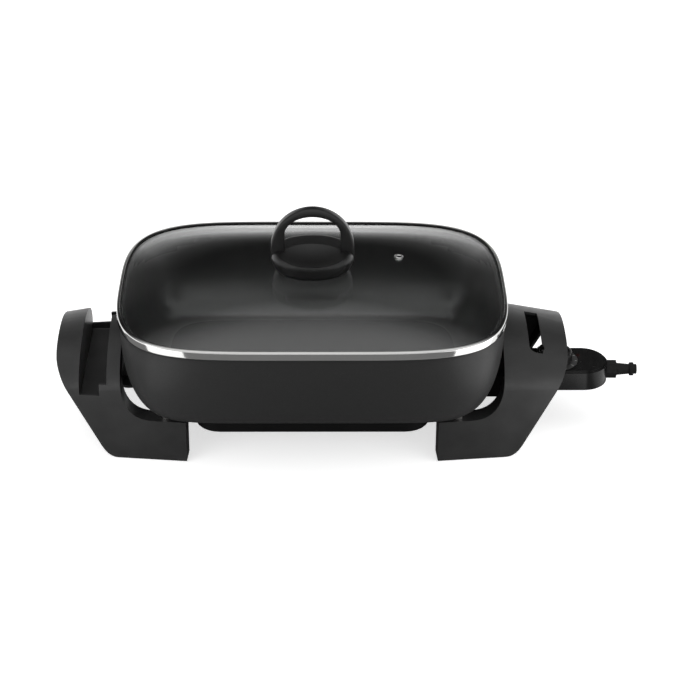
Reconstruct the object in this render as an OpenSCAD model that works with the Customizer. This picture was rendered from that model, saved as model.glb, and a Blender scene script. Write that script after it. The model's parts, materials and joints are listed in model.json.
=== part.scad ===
// Electric skillet: a rectangular non-stick pan on two arched leg handles,
// with a lift-off domed glass lid and a plug-in temperature control probe.
// Millimetres, +Z up, the counter at z = 0, the middle of the pan at x = y = 0,
// the control probe on the +X side, the front on the -Y side.

/* [Pan] */
// Half length of the lid rim along X, which the pan's lip follows
rim_half_l = 204; // [196:1:212]
// Half width of the lid rim along Y
rim_half_w = 151.5; // [145:1:158]
// Squareness of the outline's short ends
square_l = 4.9; // [4:0.1:6]
// Squareness of the outline's long sides
square_w = 3.3; // [2.8:0.1:4]
// Height of the pan's lip above the counter
lip_z = 158; // [150:1:166]
// How far the lip lies inside the lid rim
lip_inset = 1.6; // [1.4:0.1:2]
// Width of the flat lip that the lid rests on
lip_w = 7.5; // [6:0.5:9]
// Height of the lip's outer bead
lip_h = 4; // [3:0.5:5]
// Squareness of the short ends at the pan's bottom
bottom_square_l = 8; // [5:0.5:9]
// Squareness of the long sides at the pan's bottom
bottom_square_w = 4.7; // [3.3:0.1:5.5]
// Height of the pan's underside above the counter
pan_bottom_z = 60; // [59:0.5:64]
// Height where the wall starts to curve in
knee_z = 151; // [130:1:152]
// How far the wall has come in at that height
knee_inset = 2.8; // [2:0.1:5]
// How much further it comes in down to the flat bottom
sweep_in = 42; // [36:1:50]
// Wall thickness
pan_wall = 3.5; // [2.5:0.5:4]
// Floor thickness
pan_floor = 5; // [4:0.5:7]
// Half width of the cast lug at each end that a handle is screwed to
lug_half_w = 30; // [26:1:34]
// Height of the lug
lug_h = 20; // [16:1:22]

/* [Lid] */
// Height of the steel rim's skirt
skirt_h = 9; // [8:0.5:11]
// Thickness of the rim's steel
steel = 0.8; // [0.6:0.1:1]
// Width of the steel edge that shows around the glass
steel_edge = 3.5; // [3:0.5:5]
// Width of seal that shows inside the steel edge
seal_show = 1.3; // [1:0.1:2]
// Thickness of the glass
glass_t = 3.5; // [3:0.5:4]
// Rise of the dome above the rim
dome_h = 19; // [14:1:24]
// Fullness of the dome, 2 is a parabola
dome_full = 2.3; // [2:0.1:3]
// Steam vent, distance to the right of the middle
vent_x = 92; // [70:1:110]
// Steam vent, distance behind the middle
vent_y = 34; // [0:1:50]
// Radius of the vent's flange
vent_r = 4.8; // [4.5:0.1:6]

/* [Knob] */
// Half length of the knob's base along X
knob_half_l = 43.5; // [40:0.5:46]
// Half width of the knob's base along Y
knob_half_w = 36; // [30:1:38]
// Height of the base
knob_base_h = 22; // [18:1:25]
// Height of the loop's top above the glass
loop_h = 70.2; // [64:0.2:78]
// Half width of the finger hole
hole_half_l = 29; // [26:1:32]
// Height of the finger hole's rounded top
hole_rise = 20; // [16:1:26]
// Thickness of the loop's top
loop_t = 8.2; // [7:0.2:12]
// Depth of the loop from front to back
loop_depth = 13; // [11:1:18]
// Width of the bevel along the loop's outer edges
loop_bevel = 3.2; // [1:0.2:4]
// Radius of the scoop in the base's top
scoop_r = 150; // [120:5:180]
// Depth of the scoop at its middle
scoop_dip = 5; // [3:0.5:6]

/* [Heater] */
// Distance from the lid rim's end to the end of the element cover under the pan
cover_in_l = 81; // [76:1:88]
// Distance from the lid rim's side to the side of the element cover
cover_in_w = 55.5; // [51.5:0.5:61.5]
// Corner radius of the element cover
cover_round = 26; // [20:1:30]
// Depth of the element cover
cover_h = 22; // [20:1:26]
// Wall of the element cover
cover_wall = 2; // [1.5:0.5:3]
// Radius of the element's tube
element_r = 3.8; // [3.4:0.1:3.8]
// Distance from the cover's end to the middle of the element's tube
element_in_l = 31; // [26:1:43]
// Distance from the cover's side to the middle of the element's tube
element_in_w = 30; // [26:1:40]
// Bend radius of the element's corners
element_bend = 30; // [24:1:36]
// Distance of each contact pin from the middle
pin_y = 13; // [12:0.5:15]
// Radius of the contact pins
pin_r = 2.45; // [2:0.05:3]
// Height of the socket's axis above the counter
socket_z = 56; // [54:0.5:56]

/* [Legs] */
// Half depth of a leg over its front and back faces at the foot's inner end
leg_half_w = 91.7; // [86:0.5:95]
// How much each face turns in towards the handle's end, in degrees
splay = 6.2; // [4:0.2:8]
// Wall of the leg moulding
leg_wall = 3; // [2.5:0.5:3.5]
// Depth of the leg's inner flange
flange_depth = 19; // [17:0.5:22]
// Distance from the lid rim's end to the foot's inner end
foot_in = 71.7; // [64:0.1:76]
// Lean of the foot's inner end over the depth of the flange, in degrees
flange_tilt = 4; // [1:0.5:7]
// Length of the foot
foot_l = 72.7; // [66:0.1:78]
// Height of the shelf under the pan
shelf_z = 48; // [44:1:50]
// Gap between the lid rim's end and the handle, taken off the rim
handle_tuck = 4; // [2:1:4]
// Reach of the handle beyond the rim's end
handle_reach = 65.4; // [60:0.2:72]
// Height of the handle's top at its pan side
handle_top_z = 124.2; // [120:0.2:130]
// Slope of the handle's top, in degrees
top_slope = 10.3; // [8:0.1:12]
// Height where the handle's faces start to round over
shoulder_z = 82; // [76:1:88]
// Slope of that line, in degrees
shoulder_slope = 3; // [0:0.5:6]
// Lean of the handle's outer edge, in degrees off vertical
edge_lean = 27.5; // [25:0.5:29]
// Height of the rubber feet below the leg
feet_h = 1; // [0.8:0.1:2]

/* [Handle slots] */
// Distance from the rim's end to the outer wall of the left handle's lid rest
rest_out = 39; // [37:1:41]
// Width of the lid rest across its low part
rest_w = 21; // [18:1:24]
// Width of its raised step on the pan side
step_w = 8; // [6:1:10]
// Height of the lid rest's lower lips
rest_z = 75.2; // [74:0.2:78]
// Height of the step
step_z = 88; // [84:1:92]
// Depth of the rest's tray below the lips
tray_drop = 5.2; // [4:0.2:7]
// Distance from the rim's end to the right handle's slot
slot_out = 24; // [22:1:27]
// Width of the right handle's slot
slot_w = 14; // [11:1:16]
// Front end of the slot, ahead of the middle
slot_front = 51; // [46:1:56]
// Back end of the slot, behind the middle
slot_back = 27; // [20:1:32]

/* [Control probe] */
// Distance from the lid rim's end to the back of the control's body
control_out = 12; // [11:1:15]
// Length of the body
control_l = 102; // [96:1:110]
// Width of the body
control_w = 55; // [50:1:56]
// Height of the body's underside above the counter
control_z = 50; // [48:0.5:50]
// Height of the lower shell
lower_h = 12; // [11.5:0.5:13]
// Height of the upper shell
upper_h = 10.5; // [9:0.5:12]
// Wall of the control's shells
control_wall = 2; // [1.6:0.2:2.4]
// Length of the nose that plugs into the socket
nose_l = 24; // [20:1:26]
// Radius of the sensor rod
rod_r = 3; // [2.5:0.1:3.2]
// Length of the sensor rod beyond the body
rod_l = 84; // [76:1:88]
// Radial running clearance of the rod and the pins
running_gap = 0.08; // [0.05:0.01:0.1]
// Radius of the dial
dial_r = 20.3; // [18:0.1:22]
// Height of the dial
dial_h = 10.5; // [9:0.5:12]
// Number of grip ribs around the dial
dial_ribs = 24; // [18:1:30]
// Distance from the back of the control's body to the dial's axis
dial_out = 44; // [40:1:47]
// Radius of the dial's spindle
spindle_r = 3; // [2.5:0.1:3.5]
// Length of the strain relief's taper
relief_l = 22; // [18:1:26]
// Radius of the strain relief at its root
relief_r = 6.7; // [6:0.1:7.5]
// Radius of the bore for the mains lead
lead_r = 3.4; // [3:0.1:3.8]

/* [Hidden] */

$fn = 48;

// How far a cut runs past the face that it leaves through, and a rough form past the part
eps = 0.5;
overrun = 10;

// Points around the outline, and steps along a quarter of a curve
ring_n = 64;
arc_n = 6;

plastic = "#26262a";
black = "#1c1c1e";
metal = "#c4c6c8";
rubber = "#2f2f31";

// Fits and seats
seat_gap = 0.3;
part_gap = 0.15;

// Play of a screw's shank in a clear hole, and of its thread in a tapped one
shank_play = 0.2;
thread_play = 0.05;

// How far a pan head stands out past its shank, and its height
head_out = 1.5;
head_t = 2.6;

// Places along X that follow the lid rim's end
handle_in_x = rim_half_l - handle_tuck;
handle_out_x = rim_half_l + handle_reach;
foot_in_x = rim_half_l - foot_in;
foot_out_x = foot_in_x + foot_l;
cover_half_l = rim_half_l - cover_in_l;
cover_half_w = rim_half_w - cover_in_w;
control_x = rim_half_l + control_out;
dial_x = control_x + dial_out;

// ---- Outline shared by the pan and the lid ----

function signed_pow(v, p) = sign(v) * pow(abs(v), p);

// Points of the squared oval, drawn in from the lid rim by inset
function oval(inset, n = square_l, m = square_w) = [
    for (i = [0 : ring_n - 1])
        let (t = 360 * (i + 0.5) / ring_n)
        [(rim_half_l - inset) * signed_pow(cos(t), 2 / n),
         (rim_half_w - inset) * signed_pow(sin(t), 2 / m)]];

// Solid through a list of closed rings of equal count, capped at both ends
module loft(rings) {
    n = len(rings[0]);
    last = len(rings) - 1;
    points = [for (ring = rings) for (p = ring) p];
    sides = [
        for (k = [0 : last - 1]) for (i = [0 : n - 1])
            let (j = (i + 1) % n, a = k * n, b = (k + 1) * n)
            each [[a + i, b + i, b + j], [a + i, b + j, a + j]]];
    caps = [[for (i = [0 : n - 1]) i], [for (i = [n - 1 : -1 : 0]) last * n + i]];
    polyhedron(points = points, faces = concat(sides, caps), convexity = 6);
}

function at_z(outline, z) = [for (p = outline) [p[0], p[1], z]];

// Flat band that follows the outline between two insets
module band(inset_out, inset_in, z0, z1) {
    translate([0, 0, z0]) linear_extrude(z1 - z0) difference() {
        polygon(oval(inset_out));
        polygon(oval(inset_in));
    }
}

module box(x0, x1, y0, y1, z0, z1) {
    translate([x0, y0, z0]) cube([x1 - x0, y1 - y0, z1 - z0]);
}

module tube_x(x0, x1, y, z, r) {
    translate([x0, y, z]) rotate([0, 90, 0]) cylinder(r = r, h = x1 - x0);
}

module on_both_ends() {
    children();
    mirror([1, 0, 0]) children();
}

module on_both_sides() {
    children();
    mirror([0, 1, 0]) children();
}

// ---- Pan ----

floor_z = pan_bottom_z + pan_floor;

// Inset of the wall's curve, t from 0 at the knee to 90 at the flat bottom
function curve_inset(t) = knee_inset + sweep_in * (1 - cos(t));

// Squareness of the wall's rings, which grows towards the bottom
function wall_n(t) = square_l + (bottom_square_l - square_l) * sin(t);
function wall_m(t) = square_w + (bottom_square_w - square_w) * sin(t);

// Rings of the outer wall from the bottom up to the lip, grown by a clearance
function outer_rings(grow) = concat(
    [for (k = [arc_n : -1 : 0])
        let (t = 90 * k / arc_n)
        at_z(oval(curve_inset(t) - grow, wall_n(t), wall_m(t)),
            knee_z - (knee_z - pan_bottom_z) * sin(t) - grow)],
    [at_z(oval(lip_inset + 1 - grow), lip_z - lip_h),
     at_z(oval(lip_inset - grow), lip_z - lip_h + 1),
     at_z(oval(lip_inset - grow), lip_z)]);

// Rings of the cavity from the floor up to the mouth, grown into the wall
function cavity_rings(grow) = concat(
    [for (k = [arc_n : -1 : 0])
        let (t = 90 * k / arc_n)
        at_z(oval(curve_inset(t) + pan_wall - grow, wall_n(t), wall_m(t)),
            knee_z - (knee_z - floor_z) * sin(t) - grow)],
    [at_z(oval(lip_inset + lip_w - grow), lip_z)]);

function reversed(list) = [for (k = [len(list) - 1 : -1 : 0]) list[k]];

module pan_form(grow) {
    loft(outer_rings(grow));
}

lug_drop = 8;
lug_l = 12;
lug_top_z = handle_top_z - lug_drop;
lug_mid_z = lug_top_z - lug_h / 2;
handle_screw_in = 8;
handle_screw_y = lug_half_w - handle_screw_in;
handle_screw_r = 2;

// Depth of the blind holes for the handle screws
handle_bite = 5.7;

module lug() {
    difference() {
        box(handle_in_x - lug_l, handle_in_x - part_gap, -lug_half_w, lug_half_w,
            lug_top_z - lug_h, lug_top_z);
        loft(cavity_rings(pan_wall / 2));
    }
}

module handle_screw_places() {
    on_both_ends() on_both_sides() translate([handle_in_x, handle_screw_y, lug_mid_z])
        children();
}

module pan() {
    color(black) {
        difference() {
            union() {
                loft(concat(outer_rings(0), reversed(cavity_rings(0))));
                on_both_ends() lug();
            }
            cover_screw_places() translate([0, 0, -eps])
                cylinder(r = screw_r, h = base_bite + eps);
            shroud_screw_places() translate([0, 0, pan_bottom_z - socket_z - eps])
                cylinder(r = screw_r, h = base_bite + eps);
            handle_screw_places() tube_x(-handle_bite, eps, 0, 0, handle_screw_r);
        }
    }
}

// ---- Heating element and its cover ----

cover_z = pan_bottom_z - cover_h;
cover_screw_in_l = 30;
cover_screw_in_w = 26;

module cover_screw_places() {
    on_both_ends() on_both_sides()
        translate([cover_half_l - cover_screw_in_l, cover_half_w - cover_screw_in_w,
            pan_bottom_z]) children();
}

// Rounded rectangle of given half sizes and corner radius
function rounded(l, w, r) = [
    for (corner = [0 : 3]) for (k = [0 : arc_n])
        let (t = 90 * (corner + k / arc_n), sx = corner == 0 || corner == 3 ? 1 : -1,
            sy = corner < 2 ? 1 : -1)
        [sx * (l - r) + r * cos(t), sy * (w - r) + r * sin(t)]];

// The cover's dish, drawn in by inset and open upwards above top_z
module dish(inset, top_z) {
    steps = 3;
    round_over = 4;
    loft(concat(
        [for (k = [steps : -1 : 0])
            let (t = 90 * k / steps, pull = inset + round_over * (1 - cos(t)))
            at_z(rounded(cover_half_l - pull, cover_half_w - pull, cover_round - pull),
                cover_z + inset + round_over * (1 - sin(t)))],
        [at_z(rounded(cover_half_l - inset, cover_half_w - inset, cover_round - inset),
            top_z)]));
}

boss_r = 4.5;
screw_r = 1.5;

// Depth of the blind screw holes in the pan's base
base_bite = 3.5;

// Depth of the sunk seats for the cover screws' heads
cover_seat = 6;

// Notch in the cover's end that the element's ends and the sensor tube leave through
notch_l = 30;
notch_r = 4.6;

module element_cover() {
    cut = cover_half_l - notch_l;
    color(plastic) difference() {
        union() {
            difference() {
                dish(0, pan_bottom_z - part_gap);
                dish(cover_wall, pan_bottom_z + eps);
            }
            cover_screw_places() translate([0, 0, -cover_h + cover_wall])
                cylinder(r = boss_r, h = cover_h - cover_wall - part_gap);
        }
        cover_screw_places() translate([0, 0, -cover_h - eps]) {
            cylinder(r = screw_r + shank_play, h = cover_h + 2 * eps);
            cylinder(r = screw_r + head_out + seat_gap, h = cover_seat + eps);
        }
        for (y = [-pin_y, 0, pin_y]) tube_x(cut, cover_half_l + eps, y, socket_z, notch_r);
        box(cut, cover_half_l + eps, -notch_r - pin_y, notch_r + pin_y, socket_z,
            pan_bottom_z + eps);
    }
}

module cover_screws() {
    head_z = cover_seat - seat_gap - head_t - cover_h;
    color(metal) cover_screw_places() translate([0, 0, head_z]) {
        cylinder(r = screw_r - thread_play, h = base_bite - seat_gap - head_z);
        cylinder(r = screw_r + head_out, h = head_t);
    }
}

// One quarter bend of the element's tube, in plan
module bend(x, y, turn) {
    translate([x, y, 0]) rotate([0, 0, turn])
        rotate_extrude(angle = 90) translate([element_bend, 0]) circle(r = element_r);
}

element_half_l = cover_half_l - element_in_l;
element_half_w = cover_half_w - element_in_w;

// Bend radius of the element's two ends, which reach a little past the cover
end_bend = 8;
element_out = 8;
element_end_x = cover_half_l + element_out;

module element_half() {
    straight_l = element_half_l - element_bend;
    straight_w = element_half_w - element_bend;
    tube_x(-straight_l, straight_l, -element_half_w, 0, element_r);
    bend(-straight_l, -straight_w, 180);
    bend(straight_l, -straight_w, 270);
    translate([-element_half_l, 0, 0]) rotate([90, 0, 0])
        cylinder(r = element_r, h = straight_w);
    translate([element_half_l, -straight_w, 0]) rotate([-90, 0, 0])
        cylinder(r = element_r, h = straight_w - pin_y - end_bend);
    translate([element_half_l + end_bend, -pin_y - end_bend, 0]) rotate([0, 0, 90])
        rotate_extrude(angle = 90) translate([end_bend, 0]) circle(r = element_r);
    tube_x(element_half_l + end_bend, element_end_x, -pin_y, 0, element_r);
}

module heating_element() {
    color(metal) translate([0, 0, socket_z]) on_both_sides() element_half();
}

pin_out = 6;
pin_tip_x = handle_in_x + pin_out;

module terminal_pins() {
    color(metal) on_both_sides() {
        tube_x(element_end_x + part_gap, pin_tip_x - pin_r, pin_y, socket_z, pin_r);
        translate([pin_tip_x - pin_r, pin_y, socket_z]) sphere(r = pin_r);
    }
}

insulator_out = 4;
insulator_x = element_end_x + insulator_out;
insulator_l = 8;
insulator_wall = 1.4;

module pin_insulators() {
    color("#e6e2d6") on_both_sides() difference() {
        tube_x(insulator_x, insulator_x + insulator_l, pin_y, socket_z,
            pin_r + insulator_wall);
        tube_x(insulator_x - eps, insulator_x + insulator_l + eps, pin_y, socket_z,
            pin_r + thread_play);
    }
}

rod_tip_x = control_x - rod_l;
tube_wall = 0.9;
tube_mouth_in = 14;

// Room before the rod's tip, and the closed end behind it
tip_room = 4;
tube_cap = 4;

module sensor_tube() {
    mouth_x = handle_in_x - tube_mouth_in;
    color(metal) difference() {
        tube_x(rod_tip_x - tip_room - tube_cap, mouth_x, 0, socket_z,
            rod_r + running_gap + tube_wall);
        tube_x(rod_tip_x - tip_room, mouth_x + eps, 0, socket_z, rod_r + running_gap);
    }
}

// ---- Socket shroud around the pins ----

nose_cheek = 9;
nose_half_w = pin_y + nose_cheek;
nose_half_h = 6;
nose_gap = 0.4;
shroud_wall = 2.2;
shroud_lap = 2;
shroud_gap = 2;
shroud_x0 = insulator_x - shroud_lap;
shroud_x1 = control_x - shroud_gap;
shroud_half_w = nose_half_w + nose_gap + shroud_wall;
shroud_half_h = nose_half_h + nose_gap + shroud_wall;
shroud_back = insulator_x + insulator_l - shroud_lap;
shroud_screw_in = 16;
shroud_screw_x = shroud_back + shroud_screw_in;
ear_w = 9;
ear_drop = 8;
skirt_drop = 7;

module shroud_screw_places() {
    on_both_sides() translate([shroud_screw_x, shroud_half_w + ear_w / 2, socket_z])
        children();
}

module terminal_shroud() {
    color(black) difference() {
        union() {
            box(shroud_x0, shroud_x1, -shroud_half_w, shroud_half_w,
                socket_z - shroud_half_h - skirt_drop, socket_z + shroud_half_h);
            shroud_screw_places() translate([0, 0, -ear_drop])
                cylinder(r = (ear_w + 1) / 2, h = ear_drop + lip_z - socket_z - eps);
        }
        pan_form(part_gap);
        box(shroud_back, shroud_x1 - shroud_wall, shroud_wall - shroud_half_w,
            shroud_half_w - shroud_wall, socket_z - shroud_half_h - skirt_drop - eps,
            socket_z - shroud_half_h);
        box(shroud_back, shroud_x1 + eps, -nose_half_w - nose_gap, nose_half_w + nose_gap,
            socket_z - nose_half_h - nose_gap, socket_z + nose_half_h + nose_gap);
        tube_x(shroud_x0 - eps, shroud_back + eps, 0, socket_z,
            rod_r + running_gap + tube_wall + part_gap);
        on_both_sides() tube_x(shroud_x0 - eps, shroud_back + eps, pin_y, socket_z,
            pin_r + insulator_wall + part_gap);
        shroud_screw_places() translate([0, 0, -ear_drop - eps])
            cylinder(r = screw_r + shank_play, h = ear_drop + lip_z - socket_z);
    }
}

module shroud_screws() {
    head_z = -ear_drop - part_gap - head_t;
    color(metal) shroud_screw_places() translate([0, 0, head_z]) {
        cylinder(r = screw_r + head_out, h = head_t);
        cylinder(r = screw_r - thread_play,
            h = pan_bottom_z + base_bite - seat_gap - socket_z - head_z);
    }
}

// ---- Legs with their arched handles ----

function leg_half_at(x) = leg_half_w - (x - foot_in_x) * tan(splay);
function top_at(x) = handle_top_z - (x - handle_in_x) * tan(top_slope);
function shoulder_at(x) = shoulder_z - (x - handle_in_x) * tan(shoulder_slope);

arch_n = 12;

// How far the inner ends of the flanges lean in over their depth
flange_lean = (leg_wall + flange_depth) * sin(flange_tilt);

// Cross-section of the leg at x: upright faces under a round-topped arch
function arch_ring(x, inset) =
    let (w = leg_half_at(x) - inset, s = shoulder_at(x), rise = top_at(x) - s - inset)
    concat(
        [[x, -w, -leg_wall], [x, w, -leg_wall]],
        [for (k = [0 : 2 * arch_n])
            let (t = 90 * k / arch_n)
            [x, w * cos(t), s + rise * sin(t)]]);

module arch_form(inset) {
    arch_l = handle_out_x - foot_in_x + 2 * overrun;
    loft([for (k = [0 : 3]) arch_ring(foot_in_x - overrun + arch_l * k / 3, inset)]);
}

// Points of a quadratic curve
function curve(a, b, c, n) = [
    for (k = [0 : n]) let (t = k / n)
        (1 - t) * (1 - t) * a + 2 * t * (1 - t) * b + t * t * c];

// The foot's toe: how far it stands out past the foot's sole, and its height
toe_out = 17;
toe_h = 13;

// Bend from the slanted edge to the upright one: how far it comes in, and its height
edge_round = 2.5;
edge_round_h = 14;

// Flat part of the shelf, and the rise and squareness of the curve that clears the pan
shelf_l = 30;
clear_rise = 52;
clear_square = 2.8;

// Side view of the leg as points [x, z], drawn in by w all round
function leg_side(w) =
    let (
        lean = tan(edge_lean),
        top = handle_top_z + overrun,
        x_in = handle_in_x + w,
        x_out = handle_out_x - w,
        z0 = feet_h + w,
        toe_x = foot_out_x + toe_out - w,
        toe_z = feet_h + toe_h,
        bend_x = x_out - edge_round,
        bend_z = toe_z + (bend_x - toe_x) / lean,
        clear_l = handle_in_x - foot_in_x - shelf_l,
        clear_x = handle_in_x - clear_l,
        clear_h = clear_rise + w
    )
    concat(
        [[foot_in_x - flange_lean + w, z0]],
        curve([foot_out_x - w, z0], [toe_x - (toe_z - z0) * lean, z0], [toe_x, toe_z], 5),
        curve([bend_x, bend_z], [x_out, bend_z + edge_round / lean],
            [x_out, bend_z + edge_round_h], 4),
        [[x_out, top], [x_in, top]],
        [for (k = [0 : 10])
            let (t = 9 * k)
            [clear_x + (clear_l + w) * signed_pow(cos(t), 2 / clear_square),
             shelf_z - w + clear_h - clear_h * signed_pow(sin(t), 2 / clear_square)]],
        [[foot_in_x - flange_lean + w, shelf_z - w]]);

// Leg outline extruded from front to back
module leg_slab(w) {
    rotate([90, 0, 0]) translate([0, 0, -leg_half_w - overrun])
        linear_extrude(2 * (leg_half_w + overrun)) polygon(leg_side(w));
}

spacer_r = 7;
spacer_in = 20;
spacer_side = 1.5;
spacer_x = foot_in_x + spacer_in;
spacer_y = leg_half_at(spacer_x) - leg_wall - spacer_r - spacer_side;
spacer_h = pan_bottom_z - shelf_z;
leg_screw_r = 2;

module spacer_places() {
    on_both_sides() translate([spacer_x, spacer_y, shelf_z]) children();
}

foot_pad_l = 10;
foot_pad_w = 15;
foot_peg_r = 2;

// Distance of the pads from the sole's inner and outer ends
pad_in = 2;
pad_out = 1;

// Places of the rubber feet of one leg: its outer toe and inner corner
module foot_places() {
    for (x = [foot_in_x + pad_in + foot_pad_l / 2, foot_out_x - pad_out - foot_pad_l / 2])
        on_both_sides() translate([x, leg_half_at(x) - leg_wall - foot_pad_w / 2, 0])
            children();
}

// Moulded shell of a leg before its slots are cut
module leg_shell() {
    difference() {
        intersection() {
            leg_slab(0);
            arch_form(0);
        }
        intersection() {
            leg_slab(leg_wall);
            arch_form(leg_wall);
        }
        arch_form(leg_wall + flange_depth);
        on_both_sides() translate([foot_in_x, -leg_half_w, 0]) rotate([0, 0, flange_tilt])
            translate([-overrun, -overrun, -overrun])
            cube([overrun, leg_half_w, shelf_z + 2 * overrun]);
        spacer_places() translate([0, 0, -leg_wall - eps])
            cylinder(r = leg_screw_r + shank_play, h = leg_wall + 2 * eps);
        on_both_sides() tube_x(handle_in_x - eps, handle_in_x + leg_wall + eps,
            handle_screw_y, lug_mid_z, handle_screw_r + shank_play);
        foot_places() cylinder(r = foot_peg_r, h = feet_h + leg_wall + eps);
    }
}

slot_x = rim_half_l + slot_out;
slot_round = 8;

// The long slot over the top of the right handle
module slot_cut() {
    z0 = shoulder_z - overrun;
    translate([0, 0, z0]) linear_extrude(handle_top_z - z0 + overrun) {
        translate([slot_x, -slot_front + slot_round])
            square([slot_w, slot_front + slot_back - slot_round]);
        translate([slot_x + slot_round, -slot_front])
            square([slot_w - slot_round, slot_round + eps]);
        translate([slot_x + slot_round, -slot_front + slot_round]) circle(r = slot_round);
    }
}

module right_leg_handle() {
    color(plastic) difference() {
        leg_shell();
        slot_cut();
    }
}

rest_x = rim_half_l + rest_out;
tray_z = rest_z - tray_drop;
tray_t = 2.5;

// Low sloped lip at the tray's back end, and the slot behind it
tray_lip = 0.8;
tray_lip_l = 4;
tray_slot = 2.6;

// Back end of the strip of handle between the channel and the pan
strip_back = 10;

// How far the channel's walls reach down past the tray's top
wall_drop = 8;

// Ledges on the channel's outer wall that the tray lies on
ledge_l = 12;
ledge_w = 5;
ledge_t = 3;
ledge_front = -40;
ledge_back = 30;

// Everything of the left handle that the lid rest's channel takes away
module rest_cut() {
    low_x = rest_x - rest_w;
    side = leg_half_w + eps;
    top = handle_top_z + overrun;
    box(low_x, rest_x, -side, side, rest_z, top);
    box(low_x - step_w, low_x + eps, -side, side, step_z, top);
    box(handle_in_x - eps, low_x + eps, strip_back, side, step_z, top);
}

module left_leg_handle() {
    color(plastic) mirror([1, 0, 0]) {
        difference() {
            leg_shell();
            rest_cut();
        }
        intersection() {
            arch_form(leg_wall / 2);
            box(rest_x, rest_x + leg_wall, -leg_half_w, leg_half_w,
                tray_z - wall_drop, handle_top_z + overrun);
        }
        for (y = [ledge_front, ledge_back])
            box(rest_x - ledge_w, rest_x + eps, y, y + ledge_l, tray_z - tray_t - ledge_t,
                tray_z - tray_t - part_gap);
    }
}

tray_back = leg_half_at(rest_x) - leg_wall - tray_slot;

// Low sloped lip at the back end of the lid rest's floor
module tray_end() {
    translate([handle_in_x + leg_wall + part_gap, 0, tray_z]) rotate([90, 0, 90])
        linear_extrude(rest_x - handle_in_x - leg_wall - 2 * part_gap)
        polygon([[tray_back - tray_lip_l, -eps], [tray_back, -eps], [tray_back, tray_lip],
            [tray_back - tray_lip_l, 0]]);
}

// Floor of the lid rest, sprung between the channel's walls
module lid_rest_tray() {
    color(plastic) mirror([1, 0, 0]) intersection() {
        arch_form(leg_wall + part_gap);
        union() {
            box(handle_in_x + leg_wall + part_gap, rest_x - part_gap, -leg_half_w,
                tray_back, tray_z - tray_t, tray_z);
            tray_end();
            box(handle_in_x + leg_wall + part_gap, rest_x - part_gap,
                -leg_half_at(rest_x) + leg_wall, -leg_half_at(rest_x) + 2 * leg_wall,
                tray_z - wall_drop, tray_z);
        }
    }
}

module leg_spacers() {
    color(metal) on_both_ends() difference() {
        spacer_places() cylinder(r = spacer_r, h = lip_z - shelf_z - eps);
        pan_form(part_gap);
        spacer_places() translate([0, 0, -eps])
            cylinder(r = leg_screw_r, h = spacer_h + 2 * eps);
    }
}

module leg_screws() {
    head_z = -leg_wall - part_gap - head_t;
    color(metal) on_both_ends() spacer_places() translate([0, 0, head_z]) {
        cylinder(r = leg_screw_r + head_out, h = head_t);
        cylinder(r = leg_screw_r - thread_play, h = spacer_h - seat_gap - head_z);
    }
}

module handle_screws() {
    color(metal) handle_screw_places() {
        tube_x(seat_gap - handle_bite, leg_wall + eps, 0, 0, handle_screw_r - thread_play);
        tube_x(leg_wall + part_gap, leg_wall + part_gap + head_t, 0, 0,
            handle_screw_r + head_out);
    }
}

module rubber_feet() {
    color(rubber) on_both_ends() foot_places() {
        translate([-foot_pad_l / 2, -foot_pad_w / 2, 0])
            cube([foot_pad_l, foot_pad_w, feet_h - thread_play]);
        cylinder(r = foot_peg_r - thread_play, h = feet_h + leg_wall);
    }
}

// ---- Lid ----

rim_seat = 2;
rim_z = lip_z + rim_seat;
rim_top_z = rim_z + glass_t + 2 * steel;
skirt_z = rim_top_z - skirt_h;
glass_edge = 2;
seal_w = steel_edge + seal_show;
dome_z = rim_z + glass_t;

// Gap between the seal, the glass and the steel, lap of the steel's bands, and how much
// the rim's outer edge is broken
lid_gap = 0.05;
lap = 0.01;
rim_break = 0.25;

// Width of the steel under the glass
rim_shelf = 2;

module lid_rim() {
    color(metal) {
        band(0, steel, skirt_z, rim_top_z - steel);
        band(steel - lap, steel_edge, rim_top_z - steel, rim_top_z - lap);
        band(rim_break, steel, rim_top_z - steel, rim_top_z - rim_break);
        band(steel - lap, seal_w + rim_shelf, lip_z + seat_gap, rim_z);
    }
}

module lid_seal() {
    color(rubber) {
        band(steel + lid_gap, glass_edge, rim_z + lid_gap, dome_z + lid_gap);
        band(steel + lid_gap, seal_w, dome_z + lid_gap, rim_top_z - steel - lid_gap);
    }
}

// Height of the dome over the ring at the fraction s of the way out
function dome_at(s) = dome_h * (1 - pow(s, dome_full));

// How far inside the rim's outline the dome starts
dome_edge = seal_w + shank_play;

// Ring at that fraction, rounder towards the middle
function dome_ring(s, z) =
    let (n = 2 + (square_l - 2) * s, m = 2 + (square_w - 2) * s)
    at_z([for (i = [0 : ring_n - 1])
        let (t = 360 * (i + 0.5) / ring_n)
        [(rim_half_l - dome_edge) * s * signed_pow(cos(t), 2 / n),
         (rim_half_w - dome_edge) * s * signed_pow(sin(t), 2 / m)]], z);

dome_steps = 9;

module lid_glass_form() {
    top = [for (k = [dome_steps : -1 : 1]) k / dome_steps];
    low = [for (k = [1 : dome_steps]) k / dome_steps];
    loft(concat(
        [for (s = low) dome_ring(s, rim_z + lid_gap + dome_at(s))],
        [at_z(oval(glass_edge + lid_gap), rim_z + lid_gap),
         at_z(oval(glass_edge + lid_gap), dome_z)],
        [for (s = top) dome_ring(s, dome_z + dome_at(s))]));
}

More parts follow.
